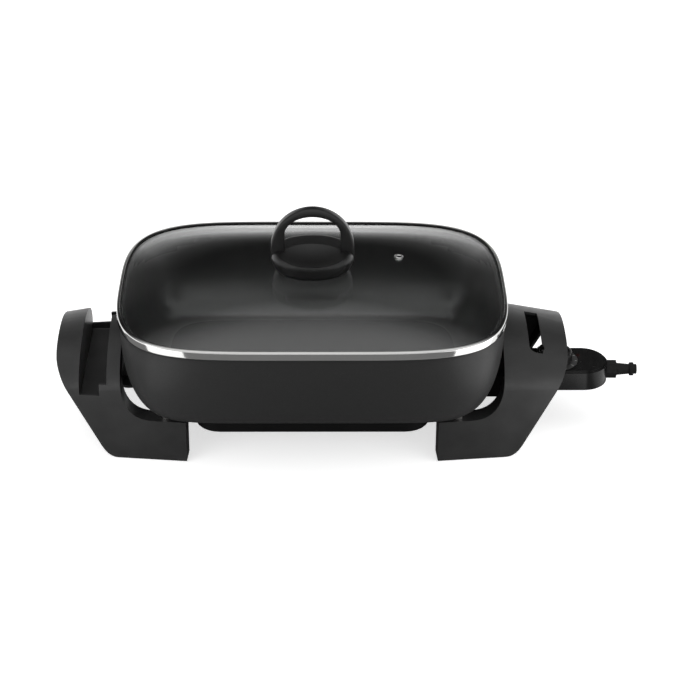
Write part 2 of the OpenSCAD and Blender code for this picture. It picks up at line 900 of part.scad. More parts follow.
// How far out a place on the dome lies, as a fraction, by halving
function fraction_at(x, y, lo = 0.02, hi = 1, n = 16) =
    n == 0 ? (lo + hi) / 2 :
    let (s = (lo + hi) / 2, p = 2 + (square_l - 2) * s, q = 2 + (square_w - 2) * s,
        v = pow(abs(x) / (rim_half_l - dome_edge) / s, p)
          + pow(abs(y) / (rim_half_w - dome_edge) / s, q))
    v > 1 ? fraction_at(x, y, s, hi, n - 1) : fraction_at(x, y, lo, s, n - 1);
function dome_height(x, y) = dome_at(fraction_at(x, y));

// Height of the glass at the vent and its lean there, over a short step to each side
step = 3;
vent_z = dome_z + dome_height(vent_x, vent_y);
vent_lean_y = atan((dome_height(vent_x - step, vent_y)
    - dome_height(vent_x + step, vent_y)) / (2 * step));
vent_lean_x = atan((dome_height(vent_x, vent_y - step)
    - dome_height(vent_x, vent_y + step)) / (2 * step));

module at_vent() {
    translate([vent_x, vent_y, vent_z]) rotate([-vent_lean_x, vent_lean_y, 0]) children();
}

knob_hole_r = 4.5;
vent_hole_r = 3.6;

module lid_glass() {
    color("#9fb0b4", 0.35) difference() {
        lid_glass_form();
        cylinder(r = knob_hole_r, h = crown_z + overrun);
        at_vent() translate([0, 0, -overrun]) cylinder(r = vent_hole_r, h = 2 * overrun);
    }
}

module vent_eyelet() {
    flange = 0.9;
    color(metal) at_vent() difference() {
        union() {
            translate([0, 0, part_gap]) cylinder(r = vent_r, h = flange);
            translate([0, 0, -glass_t - part_gap - flange])
                cylinder(r = vent_r, h = flange);
            translate([0, 0, -glass_t - flange])
                cylinder(r = vent_hole_r - part_gap, h = glass_t + 2 * flange);
        }
        translate([0, 0, -overrun]) cylinder(r = vent_hole_r - flange, h = 2 * overrun);
    }
}

// ---- Knob ----

crown_z = dome_z + dome_h;
gasket_t = 1;
gasket_r = 28;
knob_z = crown_z + gasket_t;
knob_top_z = knob_z + knob_base_h;
knob_n = 36;

function knob_oval(l, w) = [
    for (i = [0 : knob_n - 1])
        let (t = 360 * (i + 0.5) / knob_n)
        [l * signed_pow(cos(t), 0.9), w * signed_pow(sin(t), 0.9)]];

// Hollow in the front of the base that the fingers reach into
scoop_y = -26.6;

module knob_scoop() {
    translate([0, scoop_y, knob_top_z + scoop_r - scoop_dip])
        sphere(r = scoop_r, $fn = 180);
}

// Profile of the base, as how far it comes in along X and along Y, and how high
base_profile = [[7, 5, 0], [3.5, 1.5, 4], [1, 0.3, 9], [0, 0, 14],
    [1.2, 0.4, knob_base_h - 4], [3.6, 1, knob_base_h - 1.3], [6.5, 2.2, knob_base_h]];

knob_screw_r = 2.5;

// How deep the knob's screw bites, and how far the loop's feet stand above the gasket
knob_bite = 14;
loop_lift = 9;
loop_foot_z = knob_z + loop_lift;

module knob_base() {
    foot_x = hole_half_l - part_gap;
    color(black) difference() {
        loft([for (p = base_profile)
            at_z(knob_oval(knob_half_l - p[0], knob_half_w - p[1]), knob_z + p[2])]);
        knob_scoop();
        on_both_ends() box(foot_x, knob_half_l + overrun / 2, -loop_depth / 2 - part_gap,
            loop_depth / 2 + part_gap, loop_foot_z, knob_top_z + eps);
        translate([0, 0, knob_z - eps])
            cylinder(r = knob_screw_r - thread_play, h = knob_bite + eps);
    }
}

// The loop's side view: a half oval of the given rise on upright ends
module loop_side(l, rise, top_z, foot_z) {
    polygon(concat(
        [[-l, foot_z], [l, foot_z]],
        [for (k = [0 : 24])
            let (t = 7.5 * k)
            [l * cos(t), top_z - rise + rise * sin(t)]]));
}

module knob_loop() {
    top_z = crown_z + loop_h;
    bevel_n = 3;
    color(black) difference() {
        for (k = [0 : bevel_n])
            let (t = 90 * k / bevel_n, cut = loop_bevel * (1 - sin(t)),
                half_d = loop_depth / 2 - loop_bevel * (1 - cos(t)))
            rotate([90, 0, 0]) translate([0, 0, -half_d]) linear_extrude(2 * half_d)
                loop_side(knob_half_l - cut, knob_half_l - cut + 1, top_z - cut,
                    loop_foot_z + part_gap);
        rotate([90, 0, 0]) translate([0, 0, -loop_depth])
            linear_extrude(2 * loop_depth)
            loop_side(hole_half_l, hole_rise, top_z - loop_t, loop_foot_z - eps);
    }
}

module knob_gasket() {
    color(rubber) translate([0, 0, crown_z + lid_gap]) difference() {
        cylinder(r = gasket_r, h = gasket_t - 2 * lid_gap);
        translate([0, 0, -eps]) cylinder(r = knob_screw_r + shank_play, h = gasket_t + 2 * eps);
    }
}

washer_t = 1.5;
washer_r = 13;
washer_z = crown_z - glass_t - washer_t - seat_gap;

module knob_washer() {
    color(metal) translate([0, 0, washer_z]) difference() {
        cylinder(r = washer_r, h = washer_t);
        translate([0, 0, -eps]) cylinder(r = knob_screw_r + shank_play, h = washer_t + 2 * eps);
    }
}

module knob_screw() {
    head_z = washer_z - part_gap - head_t;
    color(metal) translate([0, 0, head_z]) {
        cylinder(r = 2 * knob_screw_r, h = head_t);
        cylinder(r = knob_screw_r - 2 * thread_play, h = knob_z + knob_bite - seat_gap - head_z);
    }
}

// ---- Control probe ----

split_z = control_z + lower_h;
control_top_z = split_z + upper_h;
control_half_w = control_w / 2;
round_x = control_x + control_l - control_half_w;

// Plan of the control's body: square at the pan side, round at the cord side
module control_plan(inset) {
    translate([control_x + inset, -control_half_w + inset])
        square([round_x - control_x - inset, control_w - 2 * inset]);
    translate([round_x, 0]) circle(r = control_half_w - inset, $fn = 96);
}

module control_block(inset, z0, z1) {
    translate([0, 0, z0]) linear_extrude(z1 - z0) control_plan(inset);
}

nose_x = control_x - nose_l;
collar_l = 10;
collar_r = 9.8;
body_end_x = control_x + control_l;

// How far the lead's axis lies below the split between the shells
lead_drop = 1.3;
lead_z = split_z - lead_drop;

// Screws of the shells: posts around them, and their places from the body's edges
post_r = 3.4;
post_in = 8;
post_side = 7.5;
post_back = 26;

module control_screw_places() {
    for (x = [control_x + post_in, body_end_x - post_back])
        on_both_sides() translate([x, control_half_w - post_side, 0]) children();
}

collar_sink = 2.5;
collar_root_r = 7.4;
collar_root_l = 5.8;

// Room in the shells for the strain relief's root and the foot of its collar
module collar_space() {
    tube_x(body_end_x - collar_root_l - part_gap, body_end_x + eps, 0, lead_z,
        collar_root_r + part_gap);
    tube_x(body_end_x - collar_sink - part_gap, body_end_x + eps, 0, lead_z,
        collar_r + part_gap);
}

// Holes for the contact pins in the nose's end
module pin_mouths() {
    on_both_sides() tube_x(nose_x - eps, nose_x + control_wall + eps, pin_y, socket_z,
        pin_r + running_gap + sleeve_wall + part_gap);
}

// Depth of the sunk seats for the shells' screw heads
shell_seat = 2.2;

// Small round foot under the control's body
stud_r = 1.8;
stud_out = 51;
stud_side = 9;

module control_lower_shell() {
    color(black) difference() {
        union() {
            difference() {
                union() {
                    control_block(0, control_z, split_z);
                    box(nose_x, control_x + eps, -nose_half_w, nose_half_w,
                        socket_z - nose_half_h, split_z);
                }
                control_block(control_wall, control_z + control_wall, split_z + eps);
                box(nose_x + control_wall, control_x + 2 * control_wall,
                    -nose_half_w + control_wall, nose_half_w - control_wall,
                    socket_z - nose_half_h + control_wall, split_z + eps);
            }
            control_screw_places() translate([0, 0, control_z])
                cylinder(r = post_r, h = lower_h);
            translate([control_x + stud_out, stud_side - control_half_w, control_z - stud_r])
                cylinder(r = stud_r, h = stud_r + eps);
        }
        control_screw_places() translate([0, 0, control_z - eps]) {
            cylinder(r = screw_r + shank_play, h = lower_h + 2 * eps);
            cylinder(r = screw_r + head_out + lid_gap, h = shell_seat + eps);
        }
        collar_space();
        tube_x(nose_x - eps, frame_x, 0, socket_z, rod_r + rod_play);
        pin_mouths();
    }
}

edge_cut = 2;

module control_upper_shell() {
    color(black) difference() {
        union() {
            difference() {
                union() {
                    control_block(0, split_z, control_top_z - edge_cut);
                    control_block(edge_cut, control_top_z - edge_cut - eps, control_top_z);
                    control_block(edge_cut / 2, control_top_z - edge_cut,
                        control_top_z - edge_cut / 2);
                    box(nose_x, control_x + eps, -nose_half_w, nose_half_w, split_z,
                        socket_z + nose_half_h);
                }
                control_block(control_wall + edge_cut, split_z - eps,
                    control_top_z - control_wall);
                box(nose_x + control_wall, control_x + 2 * control_wall + edge_cut,
                    -nose_half_w + control_wall, nose_half_w - control_wall, split_z - eps,
                    socket_z + nose_half_h - control_wall);
            }
            control_screw_places() translate([0, 0, split_z])
                cylinder(r = post_r, h = upper_h - control_wall + eps);
        }
        control_screw_places() translate([0, 0, split_z - eps])
            cylinder(r = screw_r - thread_play, h = upper_h - control_wall + eps);
        collar_space();
        translate([dial_x, 0, split_z])
            cylinder(r = spindle_r + running_gap, h = upper_h + eps);
        translate([lamp_x, lamp_y, split_z])
            cylinder(r = lens_r + thread_play, h = upper_h + eps);
        pin_mouths();
    }
}

module control_screws() {
    shell_head_t = 1.8;
    head_z = control_z + shell_seat - seat_gap - shell_head_t;
    color(metal) control_screw_places() translate([0, 0, head_z]) {
        cylinder(r = screw_r + head_out - part_gap, h = shell_head_t);
        cylinder(r = screw_r - 2 * thread_play, h = control_top_z - 2 * control_wall - head_z);
    }
}

// Thermostat frame: a channel between a block that holds the rod and an end wall
frame_out = 6;
frame_x = control_x + frame_out;
frame_l = 60;
frame_half_w = 11;
frame_wall = 2.5;
frame_floor = 3;
rod_block_l = 12;
end_block_l = 8;
frame_z = control_z + control_wall + part_gap;
frame_floor_z = frame_z + frame_floor;
frame_top_z = socket_z + 4.2;
rod_play = 0.1;
slack = 0.2;

module thermostat_frame() {
    color("#d8cdb4") difference() {
        box(frame_x, frame_x + frame_l, -frame_half_w, frame_half_w, frame_z, frame_top_z);
        box(frame_x + rod_block_l, frame_x + frame_l - end_block_l,
            -frame_half_w + frame_wall, frame_half_w - frame_wall, frame_floor_z,
            frame_top_z + eps);
        tube_x(frame_x - eps, frame_x + rod_block_l + eps, 0, socket_z, rod_r + rod_play);
    }
}

module sensor_rod() {
    color(metal) {
        tube_x(rod_tip_x, frame_x + rod_block_l - 3, 0, socket_z, rod_r);
        translate([rod_tip_x, 0, socket_z]) sphere(r = rod_r);
    }
}

sleeve_wall = 0.8;

// Room in a sleeve past the pin's tip
sleeve_room = 1.5;

module contact_sleeves() {
    color("#c9a24b") on_both_sides() difference() {
        tube_x(nose_x + control_wall + slack, frame_x - slack, pin_y, socket_z,
            pin_r + running_gap + sleeve_wall);
        tube_x(nose_x, pin_tip_x + sleeve_room, pin_y, socket_z, pin_r + running_gap);
    }
}

// Bimetal blade on its foot beside the rod's block
blade_t = 0.9;
blade_half_w = 4;
blade_foot_l = 5;
blade_free = 6;
blade_z = frame_floor_z + 3;

module bimetal_blade() {
    x0 = frame_x + rod_block_l + slack;
    color("#b08d57") {
        box(x0, frame_x + frame_l - end_block_l - blade_free, -blade_half_w, blade_half_w,
            blade_z, blade_z + blade_t);
        box(x0, x0 + blade_foot_l, -blade_half_w, blade_half_w, frame_floor_z + rod_play,
            blade_z + eps);
    }
}

// Contact arm above the blade, on its foot beside the end wall
arm_gap = 1.2;
arm_t = 0.8;
arm_half_w = 3;
arm_l = 26;
arm_foot_l = 2.8;
contact_r = 1.5;
arm_z = blade_z + blade_t + arm_gap;

module contact_arm() {
    x1 = frame_x + frame_l - end_block_l - slack;
    color("#c9a24b") {
        box(x1 - arm_l, x1, -arm_half_w, arm_half_w, arm_z, arm_z + arm_t);
        translate([x1 - arm_l + 2 * contact_r, 0, blade_z + blade_t + rod_play])
            cylinder(r = contact_r, h = arm_gap);
        box(x1 - arm_foot_l, x1, -arm_half_w, arm_half_w, frame_floor_z + rod_play,
            arm_z + eps);
    }
}

// The lamp stands just past the frame's end wall
lamp_gap = 5;
lamp_x = frame_x + frame_l + lamp_gap;
lamp_y = 9;
lens_r = 2.6;
lens_flange = 1.1;
lens_flange_t = 0.8;
bulb_r = 2;

module lamp_lens() {
    under_z = control_top_z - control_wall;
    color("#7a1f16") {
        translate([lamp_x, lamp_y, under_z - eps])
            cylinder(r = lens_r, h = control_wall + eps + seat_gap);
        translate([lamp_x, lamp_y, under_z - rod_play - lens_flange_t])
            cylinder(r = lens_r + lens_flange, h = lens_flange_t);
    }
}

module neon_lamp() {
    bulb_z = control_top_z - control_wall - 1 - bulb_r;
    base_z = control_z + control_wall;
    color("#d9a58c") translate([lamp_x, lamp_y, 0]) {
        translate([0, 0, bulb_z]) sphere(r = bulb_r);
        translate([0, 0, base_z]) cylinder(r = bulb_r, h = bulb_z - base_z);
    }
}

plate_out = 5.5;
plate_t = 0.5;

// Thin ring around the dial that carries its scale
module dial_plate() {
    hole_z = control_top_z - eps;
    hole_h = plate_t + 2 * eps;
    color("#6b6b6e") difference() {
        intersection() {
            translate([dial_x, 0, control_top_z]) cylinder(r = dial_r + plate_out, h = plate_t);
            control_block(edge_cut + eps, control_top_z - eps, control_top_z + plate_t + eps);
        }
        translate([dial_x, 0, hole_z]) cylinder(r = spindle_r + 1, h = hole_h);
        translate([lamp_x, lamp_y, hole_z]) cylinder(r = lens_r + eps, h = hole_h);
    }
}

dial_z = control_top_z + plate_t + seat_gap;

// Dial: its thin skirt, and the ribs that stand on the skirt's edge
skirt_t = 1.5;
skirt_out = 1.4;
rib_drop = 0.8;
rib_r = PI * dial_r / dial_ribs * 0.5;

// Thickness of the dial's top over its spindle
dial_cap = 3;

module temperature_dial() {
    color(black) translate([dial_x, 0, dial_z]) difference() {
        union() {
            cylinder(r = dial_r - skirt_out, h = dial_h, $fn = 96);
            cylinder(r = dial_r, h = skirt_t, $fn = 96);
            for (k = [0 : dial_ribs - 1]) rotate([0, 0, 360 * k / dial_ribs])
                translate([dial_r - rib_r - slack, 0, skirt_t / 2])
                cylinder(r = rib_r, h = dial_h - rib_drop - skirt_t / 2, $fn = 16);
        }
        translate([0, 0, -eps]) cylinder(r = spindle_r, h = dial_h - dial_cap + eps);
    }
}

// The spindle's foot, a small clearance above the contact arm that it presses
spindle_foot = 1.5;

module dial_spindle() {
    foot_z = arm_z + arm_t + seat_gap;
    color(metal) translate([dial_x, 0, foot_z]) {
        cylinder(r = spindle_r - 0.02, h = dial_z + dial_h - dial_cap - foot_z);
        cylinder(r = spindle_r + spindle_foot, h = 1);
    }
}

// Clamp for the mains lead: a saddle over it, with a screw on each side
clamp_in = 15;
clamp_l = 7;
clamp_half_w = 11;
clamp_t = 4;
clamp_lift = 1;
clamp_screw_y = 8;
clamp_screw_r = 1.2;
clamp_head_t = 1.5;
clamp_x = body_end_x - clamp_in;
clamp_top_z = lead_z + clamp_lift + clamp_t;

module clamp_screw_places() {
    on_both_sides() translate([clamp_x + clamp_l / 2, clamp_screw_y, 0]) children();
}

module cord_clamp() {
    color(metal) difference() {
        box(clamp_x, clamp_x + clamp_l, -clamp_half_w, clamp_half_w, lead_z + clamp_lift,
            clamp_top_z);
        tube_x(clamp_x - eps, clamp_x + clamp_l + eps, 0, lead_z, lead_r + seat_gap);
        clamp_screw_places() translate([0, 0, lead_z])
            cylinder(r = clamp_screw_r + rod_play, h = clamp_t + 2 * clamp_lift);
    }
}

module clamp_screws() {
    foot_z = control_z + control_wall + rod_play;
    color(metal) clamp_screw_places() {
        translate([0, 0, clamp_top_z + rod_play])
            cylinder(r = clamp_screw_r + 1, h = clamp_head_t);
        translate([0, 0, foot_z]) cylinder(r = clamp_screw_r, h = clamp_top_z + 1 - foot_z);
    }
}

// Strain relief: a ring near its end, the stub that it leaves and how much it tapers
ring_l = 4;
ring_out = 0.5;
stub_l = 4;
taper = 1.4;

module strain_relief() {
    x1 = body_end_x + collar_l;
    x2 = x1 + relief_l;
    ring_x = x2 - stub_l - ring_l + eps;
    color(black) difference() {
        union() {
            tube_x(body_end_x - collar_root_l, body_end_x, 0, lead_z, collar_root_r);
            translate([body_end_x - collar_sink, 0, lead_z]) rotate([0, 90, 0])
                rotate([0, 0, 30]) cylinder(r = collar_r, h = collar_l + collar_sink, $fn = 6);
            translate([x1 - eps, 0, lead_z]) rotate([0, 90, 0])
                cylinder(r1 = relief_r, r2 = relief_r - taper, h = ring_x - x1 + 2 * eps);
            tube_x(ring_x, ring_x + ring_l, 0, lead_z, relief_r + ring_out);
            tube_x(x2 - stub_l, x2, 0, lead_z, relief_r - taper);
        }
        tube_x(body_end_x - collar_root_l - eps, x2 + eps, 0, lead_z, lead_r);
    }
}

pan();
heating_element();
element_cover();
cover_screws();
terminal_pins();
pin_insulators();
sensor_tube();
terminal_shroud();
shroud_screws();
left_leg_handle();
right_leg_handle();
lid_rest_tray();
leg_spacers();
leg_screws();
handle_screws();
rubber_feet();
lid_glass();
lid_rim();
lid_seal();
vent_eyelet();
knob_base();
knob_loop();
knob_gasket();
knob_washer();
knob_screw();
control_upper_shell();
control_lower_shell();
control_screws();
sensor_rod();
contact_sleeves();
thermostat_frame();
bimetal_blade();
contact_arm();
lamp_lens();
neon_lamp();
dial_plate();
cord_clamp();
clamp_screws();
strain_relief();
temperature_dial();
dial_spindle();
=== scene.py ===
"""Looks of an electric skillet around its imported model. Blender's lengths are in metres, in
the model's frame; the shape builders take millimetres, and new_object and turn scale them."""

import json
import math

import bmesh
import bpy
import numpy as np
from mathutils import Matrix, Vector

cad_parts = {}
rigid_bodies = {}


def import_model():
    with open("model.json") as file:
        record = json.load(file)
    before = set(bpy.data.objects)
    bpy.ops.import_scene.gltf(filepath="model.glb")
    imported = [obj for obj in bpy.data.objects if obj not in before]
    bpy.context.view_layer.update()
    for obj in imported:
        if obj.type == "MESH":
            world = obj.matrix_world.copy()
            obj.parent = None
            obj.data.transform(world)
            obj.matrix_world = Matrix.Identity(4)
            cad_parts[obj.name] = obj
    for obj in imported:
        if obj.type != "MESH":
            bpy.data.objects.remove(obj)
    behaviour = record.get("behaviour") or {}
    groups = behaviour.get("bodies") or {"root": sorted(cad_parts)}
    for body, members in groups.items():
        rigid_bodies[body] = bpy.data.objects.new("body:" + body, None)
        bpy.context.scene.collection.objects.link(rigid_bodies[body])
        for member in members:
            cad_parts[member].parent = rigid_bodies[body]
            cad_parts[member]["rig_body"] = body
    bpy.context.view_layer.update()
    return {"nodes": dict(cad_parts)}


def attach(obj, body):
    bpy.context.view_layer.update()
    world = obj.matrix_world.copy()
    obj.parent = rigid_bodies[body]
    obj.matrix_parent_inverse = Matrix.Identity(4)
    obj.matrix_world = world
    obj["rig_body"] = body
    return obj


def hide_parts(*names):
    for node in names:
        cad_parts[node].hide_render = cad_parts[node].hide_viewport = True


MM = 0.001

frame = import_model()
scene = bpy.context.scene


# ---- Materials ----

def fill_ramp(ramp, stops):
    """Sets a colour ramp to (place, colour) stops"""
    first, last = ramp.elements
    for element, (place, colour) in ((first, stops[0]), (last, stops[-1])):
        element.position = place
        element.color = (*colour, 1)
    for place, colour in stops[1:-1]:
        ramp.elements.new(place).color = (*colour, 1)


def maths(tree, operation, *values):
    """Maths node over sockets and numbers"""
    node = tree.nodes.new("ShaderNodeMath")
    node.operation = operation
    for socket, value in zip(node.inputs, values):
        if isinstance(value, (int, float)):
            socket.default_value = value
        else:
            tree.links.new(value, socket)
    return node.outputs[0]


def ray_kinds(tree):
    """Switches for camera rays, and for rays that were mirrored or went through glass"""
    path = tree.nodes.new("ShaderNodeLightPath").outputs
    mirrored = maths(tree, "MAXIMUM", path["Is Glossy Ray"], path["Is Transmission Ray"])
    return path["Is Camera Ray"], mirrored


class Finish:
    """A node material with a Principled shader and helpers for its procedural detail"""

    def __init__(self, name):
        self.mat = bpy.data.materials.new(name)
        self.mat.use_nodes = True
        self.tree = self.mat.node_tree
        self.shader = self.tree.nodes["Principled BSDF"]
        self.coords = self.add("ShaderNodeTexCoord").outputs["Object"]

    def add(self, kind):
        return self.tree.nodes.new(kind)

    def join(self, source, target):
        self.tree.links.new(source, target)

    def set(self, **values):
        """Sets the shader's own sockets, named with _ for each space"""
        for key, value in values.items():
            self.shader.inputs[key.replace("_", " ")].default_value = value

    def surface(self, node):
        """Makes a shader node the material's surface"""
        self.join(node.outputs[0], self.tree.nodes["Material Output"].inputs["Surface"])

    def noise(self, scale, detail=3.0, stretch=(1, 1, 1), rough=0.5):
        """Noise whose features are about 1/scale metres, squeezed by stretch along each axis"""
        mapping = self.add("ShaderNodeMapping")
        mapping.inputs["Scale"].default_value = stretch
        self.join(self.coords, mapping.inputs["Vector"])
        noise = self.add("ShaderNodeTexNoise")
        noise.inputs["Scale"].default_value = scale
        noise.inputs["Detail"].default_value = detail
        noise.inputs["Roughness"].default_value = rough
        self.join(mapping.outputs["Vector"], noise.inputs["Vector"])
        return noise.outputs["Fac"]

    def remap(self, value, low, high, start=0.3, end=0.7):
        """The value's range from start to end, brought to the range from low to high"""
        node = self.add("ShaderNodeMapRange")
        node.inputs["From Min"].default_value = start
        node.inputs["From Max"].default_value = end
        node.inputs["To Min"].default_value = low
        node.inputs["To Max"].default_value = high
        self.join(value, node.inputs["Value"])
        return node.outputs["Result"]

    def colours(self, value, stops):
        """Base colour that follows the value through (place, colour) stops"""
        ramp = self.add("ShaderNodeValToRGB")
        fill_ramp(ramp.color_ramp, stops)
        self.join(value, ramp.inputs["Fac"])
        self.join(ramp.outputs["Color"], self.shader.inputs["Base Color"])

    def grain(self, height, depth, strength=1.0, under=None):
        """Bump of the given depth in metres, over another bump if there is one"""
        bump = self.add("ShaderNodeBump")
        bump.inputs["Distance"].default_value = depth
        bump.inputs["Strength"].default_value = strength
        self.join(height, bump.inputs["Height"])
        if under is not None:
            self.join(under, bump.inputs["Normal"])
        self.join(bump.outputs["Normal"], self.shader.inputs["Normal"])
        return bump.outputs["Normal"]


def grey(level, tint=(1, 1, 1)):
    """Colour of the given level, tinted"""
    return tuple(level * t for t in tint)


def plastic(name, level, rough, gloss, grain_size, grain_depth, tint=(1, 1, 1)):
    """Moulded plastic: a mottled colour, an uneven gloss and the tool's fine grain"""
    f = Finish(name)
    f.set(Specular_IOR_Level=gloss)
    mottle = f.noise(38, detail=4)
    f.colours(mottle, [(0.3, grey(level * 0.86, tint)), (0.7, grey(level * 1.16, tint))])
    f.join(f.remap(f.noise(120, detail=5), rough - 0.02, rough + 0.04),
           f.shader.inputs["Roughness"])
    broad = f.grain(f.noise(55, detail=2), grain_depth * 2.5, 0.35)
    f.grain(f.noise(1 / grain_size, detail=3), grain_depth, 0.8, under=broad)
    return f.mat


def coated(name, level, rough, gloss):
    """Non-stick coating: sprayed on, with a slight orange peel and a fine fleck"""
    f = Finish(name)
    f.set(Specular_IOR_Level=gloss)
    fleck = f.noise(1500, detail=2)
    f.colours(fleck, [(0.30, grey(level * 0.85)), (0.62, grey(level)),
                      (0.78, grey(level * 1.9))])
    f.join(f.remap(f.noise(260, detail=4), rough - 0.02, rough + 0.04),
           f.shader.inputs["Roughness"])
    peel = f.grain(f.noise(420, detail=2), 0.00006, 0.55)
    f.grain(fleck, 0.00002, 0.6, under=peel)
    return f.mat


def metal(name, colour, rough, streak=(1, 1, 1), scale=900, depth=0.000006):
    """Worked metal: fine lines left by the tool and a gloss that wavers along them"""
    f = Finish(name)
    f.set(Metallic=1.0)
    lines = f.noise(scale, detail=4, stretch=streak, rough=0.65)
    f.colours(lines, [(0.3, grey(0.93, colour)), (0.7, colour)])
    f.join(f.remap(f.noise(70, detail=5), rough * 0.7, rough * 1.35),
           f.shader.inputs["Roughness"])
    f.grain(lines, depth, 0.6)
    return f.mat


def rubber(name, level):
    """Rubber: dull, with a fine even grain"""
    f = Finish(name)
    f.set(Specular_IOR_Level=0.25)
    f.colours(f.noise(90, detail=5), [(0.3, grey(level * 0.8)), (0.7, grey(level * 1.25))])
    f.join(f.remap(f.noise(300), 0.62, 0.78), f.shader.inputs["Roughness"])
    f.grain(f.noise(1800, detail=3), 0.00003, 0.7)
    return f.mat


def glass(name):
    """Clear tempered glass: faintly uneven, with a trace of green, and light shines through"""
    f = Finish(name)
    f.set(Transmission_Weight=1.0, IOR=1.5, Roughness=0.0)
    f.colours(f.noise(9, detail=2), [(0.2, (0.93, 0.94, 0.935)), (0.8, (0.96, 0.97, 0.965))])
    f.grain(f.noise(7, detail=1), 0.00035, 0.25)
    clear = f.add("ShaderNodeBsdfTransparent")
    clear.inputs["Color"].default_value = (0.91, 0.92, 0.915, 1)
    path = f.add("ShaderNodeLightPath")
    mix = f.add("ShaderNodeMixShader")
    f.join(path.outputs["Is Shadow Ray"], mix.inputs[0])
    f.join(f.shader.outputs[0], mix.inputs[1])
    f.join(clear.outputs[0], mix.inputs[2])
    f.surface(mix)
    return f.mat


def lens(name):
    """Dark red lens of a lamp that is off"""
    f = Finish(name)
    f.set(Transmission_Weight=0.55, IOR=1.49, Roughness=0.12)
    f.colours(f.noise(600, detail=2),
              [(0.3, (0.030, 0.004, 0.003)), (0.7, (0.042, 0.006, 0.004))])
    f.grain(f.noise(900, detail=1), 0.00002, 0.4)
    return f.mat


FINISHES = {
    "nonstick_aluminium": coated("nonstick coating", 0.014, 0.30, 1.0),
    "element_steel": metal("element sheath", (0.30, 0.29, 0.28), 0.38),
    "cover_plastic": plastic("cover plastic", 0.005, 0.52, 0.10, 0.0007, 0.00003),
    "handle_plastic": plastic("handle plastic", 0.024, 0.36, 0.25, 0.0006, 0.000022),
    "knob_plastic": plastic("knob plastic", 0.007, 0.30, 0.42, 0.0009, 0.000004),
    "control_plastic": plastic("control plastic", 0.004, 0.24, 0.32, 0.0006, 0.000012),
    "dial_plastic": plastic("dial plastic", 0.008, 0.30, 0.25, 0.0005, 0.000015),
    "dial_plate_grey": plastic("dial plate", 0.035, 0.42, 0.3, 0.0004, 0.000008),
    "tempered_glass": glass("tempered glass"),
    "stainless_rim": metal("rim steel", (0.66, 0.66, 0.65), 0.10, streak=(1, 1, 14),
                           scale=260, depth=0.000003),
    "seal_rubber": rubber("seal rubber", 0.010),
    "foot_rubber": rubber("foot rubber", 0.016),
    "relief_rubber": rubber("relief rubber", 0.006),
    "zinc_screws": metal("zinc plate", (0.52, 0.52, 0.50), 0.28),
    "spacer_steel": metal("turned steel", (0.50, 0.49, 0.48), 0.26, streak=(1, 1, 9)),
    "tube_aluminium": metal("drawn aluminium", (0.58, 0.58, 0.58), 0.30, streak=(0.1, 1, 1)),
    "probe_steel": metal("probe steel", (0.60, 0.59, 0.57), 0.16, streak=(0.1, 1, 1)),
    "contact_brass": metal("contact brass", (0.62, 0.46, 0.17), 0.24),
    "bimetal": metal("bimetal", (0.50, 0.38, 0.24), 0.34, streak=(0.2, 1, 1)),
    "ceramic": plastic("ceramic", 0.62, 0.30, 0.5, 0.0012, 0.00001, tint=(1, 0.97, 0.90)),
    "lamp_red": lens("lamp lens"),
    "lamp_glass": plastic("lamp bulb", 0.55, 0.12, 0.5, 0.002, 0.000002,
                          tint=(1, 0.62, 0.48)),
}
OUTSIDE_COAT = coated("outside coating", 0.022, 0.42, 0.22)
PRINT = plastic("scale print", 0.46, 0.50, 0.3, 0.0003, 0.000004)

NODE_FINISH = {
    "pan": "nonstick_aluminium",
    "heating_element": "element_steel",
    "element_cover": "cover_plastic",
    "cover_screws": "zinc_screws",
    "terminal_pins": "contact_brass",
    "pin_insulators": "ceramic",
    "sensor_tube": "tube_aluminium",
    "terminal_shroud": "cover_plastic",
    "shroud_screws": "zinc_screws",
    "left_leg_handle": "handle_plastic",
    "right_leg_handle": "handle_plastic",
    "lid_rest_tray": "handle_plastic",
    "leg_spacers": "spacer_steel",
    "leg_screws": "zinc_screws",
    "handle_screws": "zinc_screws",
    "rubber_feet": "foot_rubber",
    "lid_glass": "tempered_glass",
    "lid_rim": "stainless_rim",
    "lid_seal": "seal_rubber",
    "vent_eyelet": "stainless_rim",
    "knob_base": "knob_plastic",
    "knob_loop": "knob_plastic",
    "knob_gasket": "seal_rubber",
    "knob_washer": "zinc_screws",
    "knob_screw": "zinc_screws",
    "control_upper_shell": "control_plastic",
    "control_lower_shell": "control_plastic",
    "control_screws": "zinc_screws",
    "sensor_rod": "probe_steel",
    "contact_sleeves": "contact_brass",
    "thermostat_frame": "ceramic",
    "bimetal_blade": "bimetal",
    "contact_arm": "contact_brass",
    "lamp_lens": "lamp_red",
    "neon_lamp": "lamp_glass",
    "dial_plate": "dial_plate_grey",
    "cord_clamp": "zinc_screws",
    "clamp_screws": "zinc_screws",
    "strain_relief": "relief_rubber",
    "temperature_dial": "dial_plastic",
    "dial_spindle": "probe_steel",
}
for node, slot in NODE_FINISH.items():
    data = frame["nodes"][node].data
    data.materials.clear()
    data.materials.append(FINISHES[slot])


# ---- Meshes ----

def settle(obj, body, slot, nodes=(), material=None, sharp=35):
    """Shades a new piece, gives it its finish and lets it ride on its body"""
    mesh = obj.data
    mesh.materials.clear()
    mesh.materials.append(material or FINISHES[slot])
    mesh.shade_smooth()
    mesh.set_sharp_from_angle(angle=math.radians(sharp))
    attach(obj, body)
    if nodes:
        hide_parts(*nodes)
    return obj


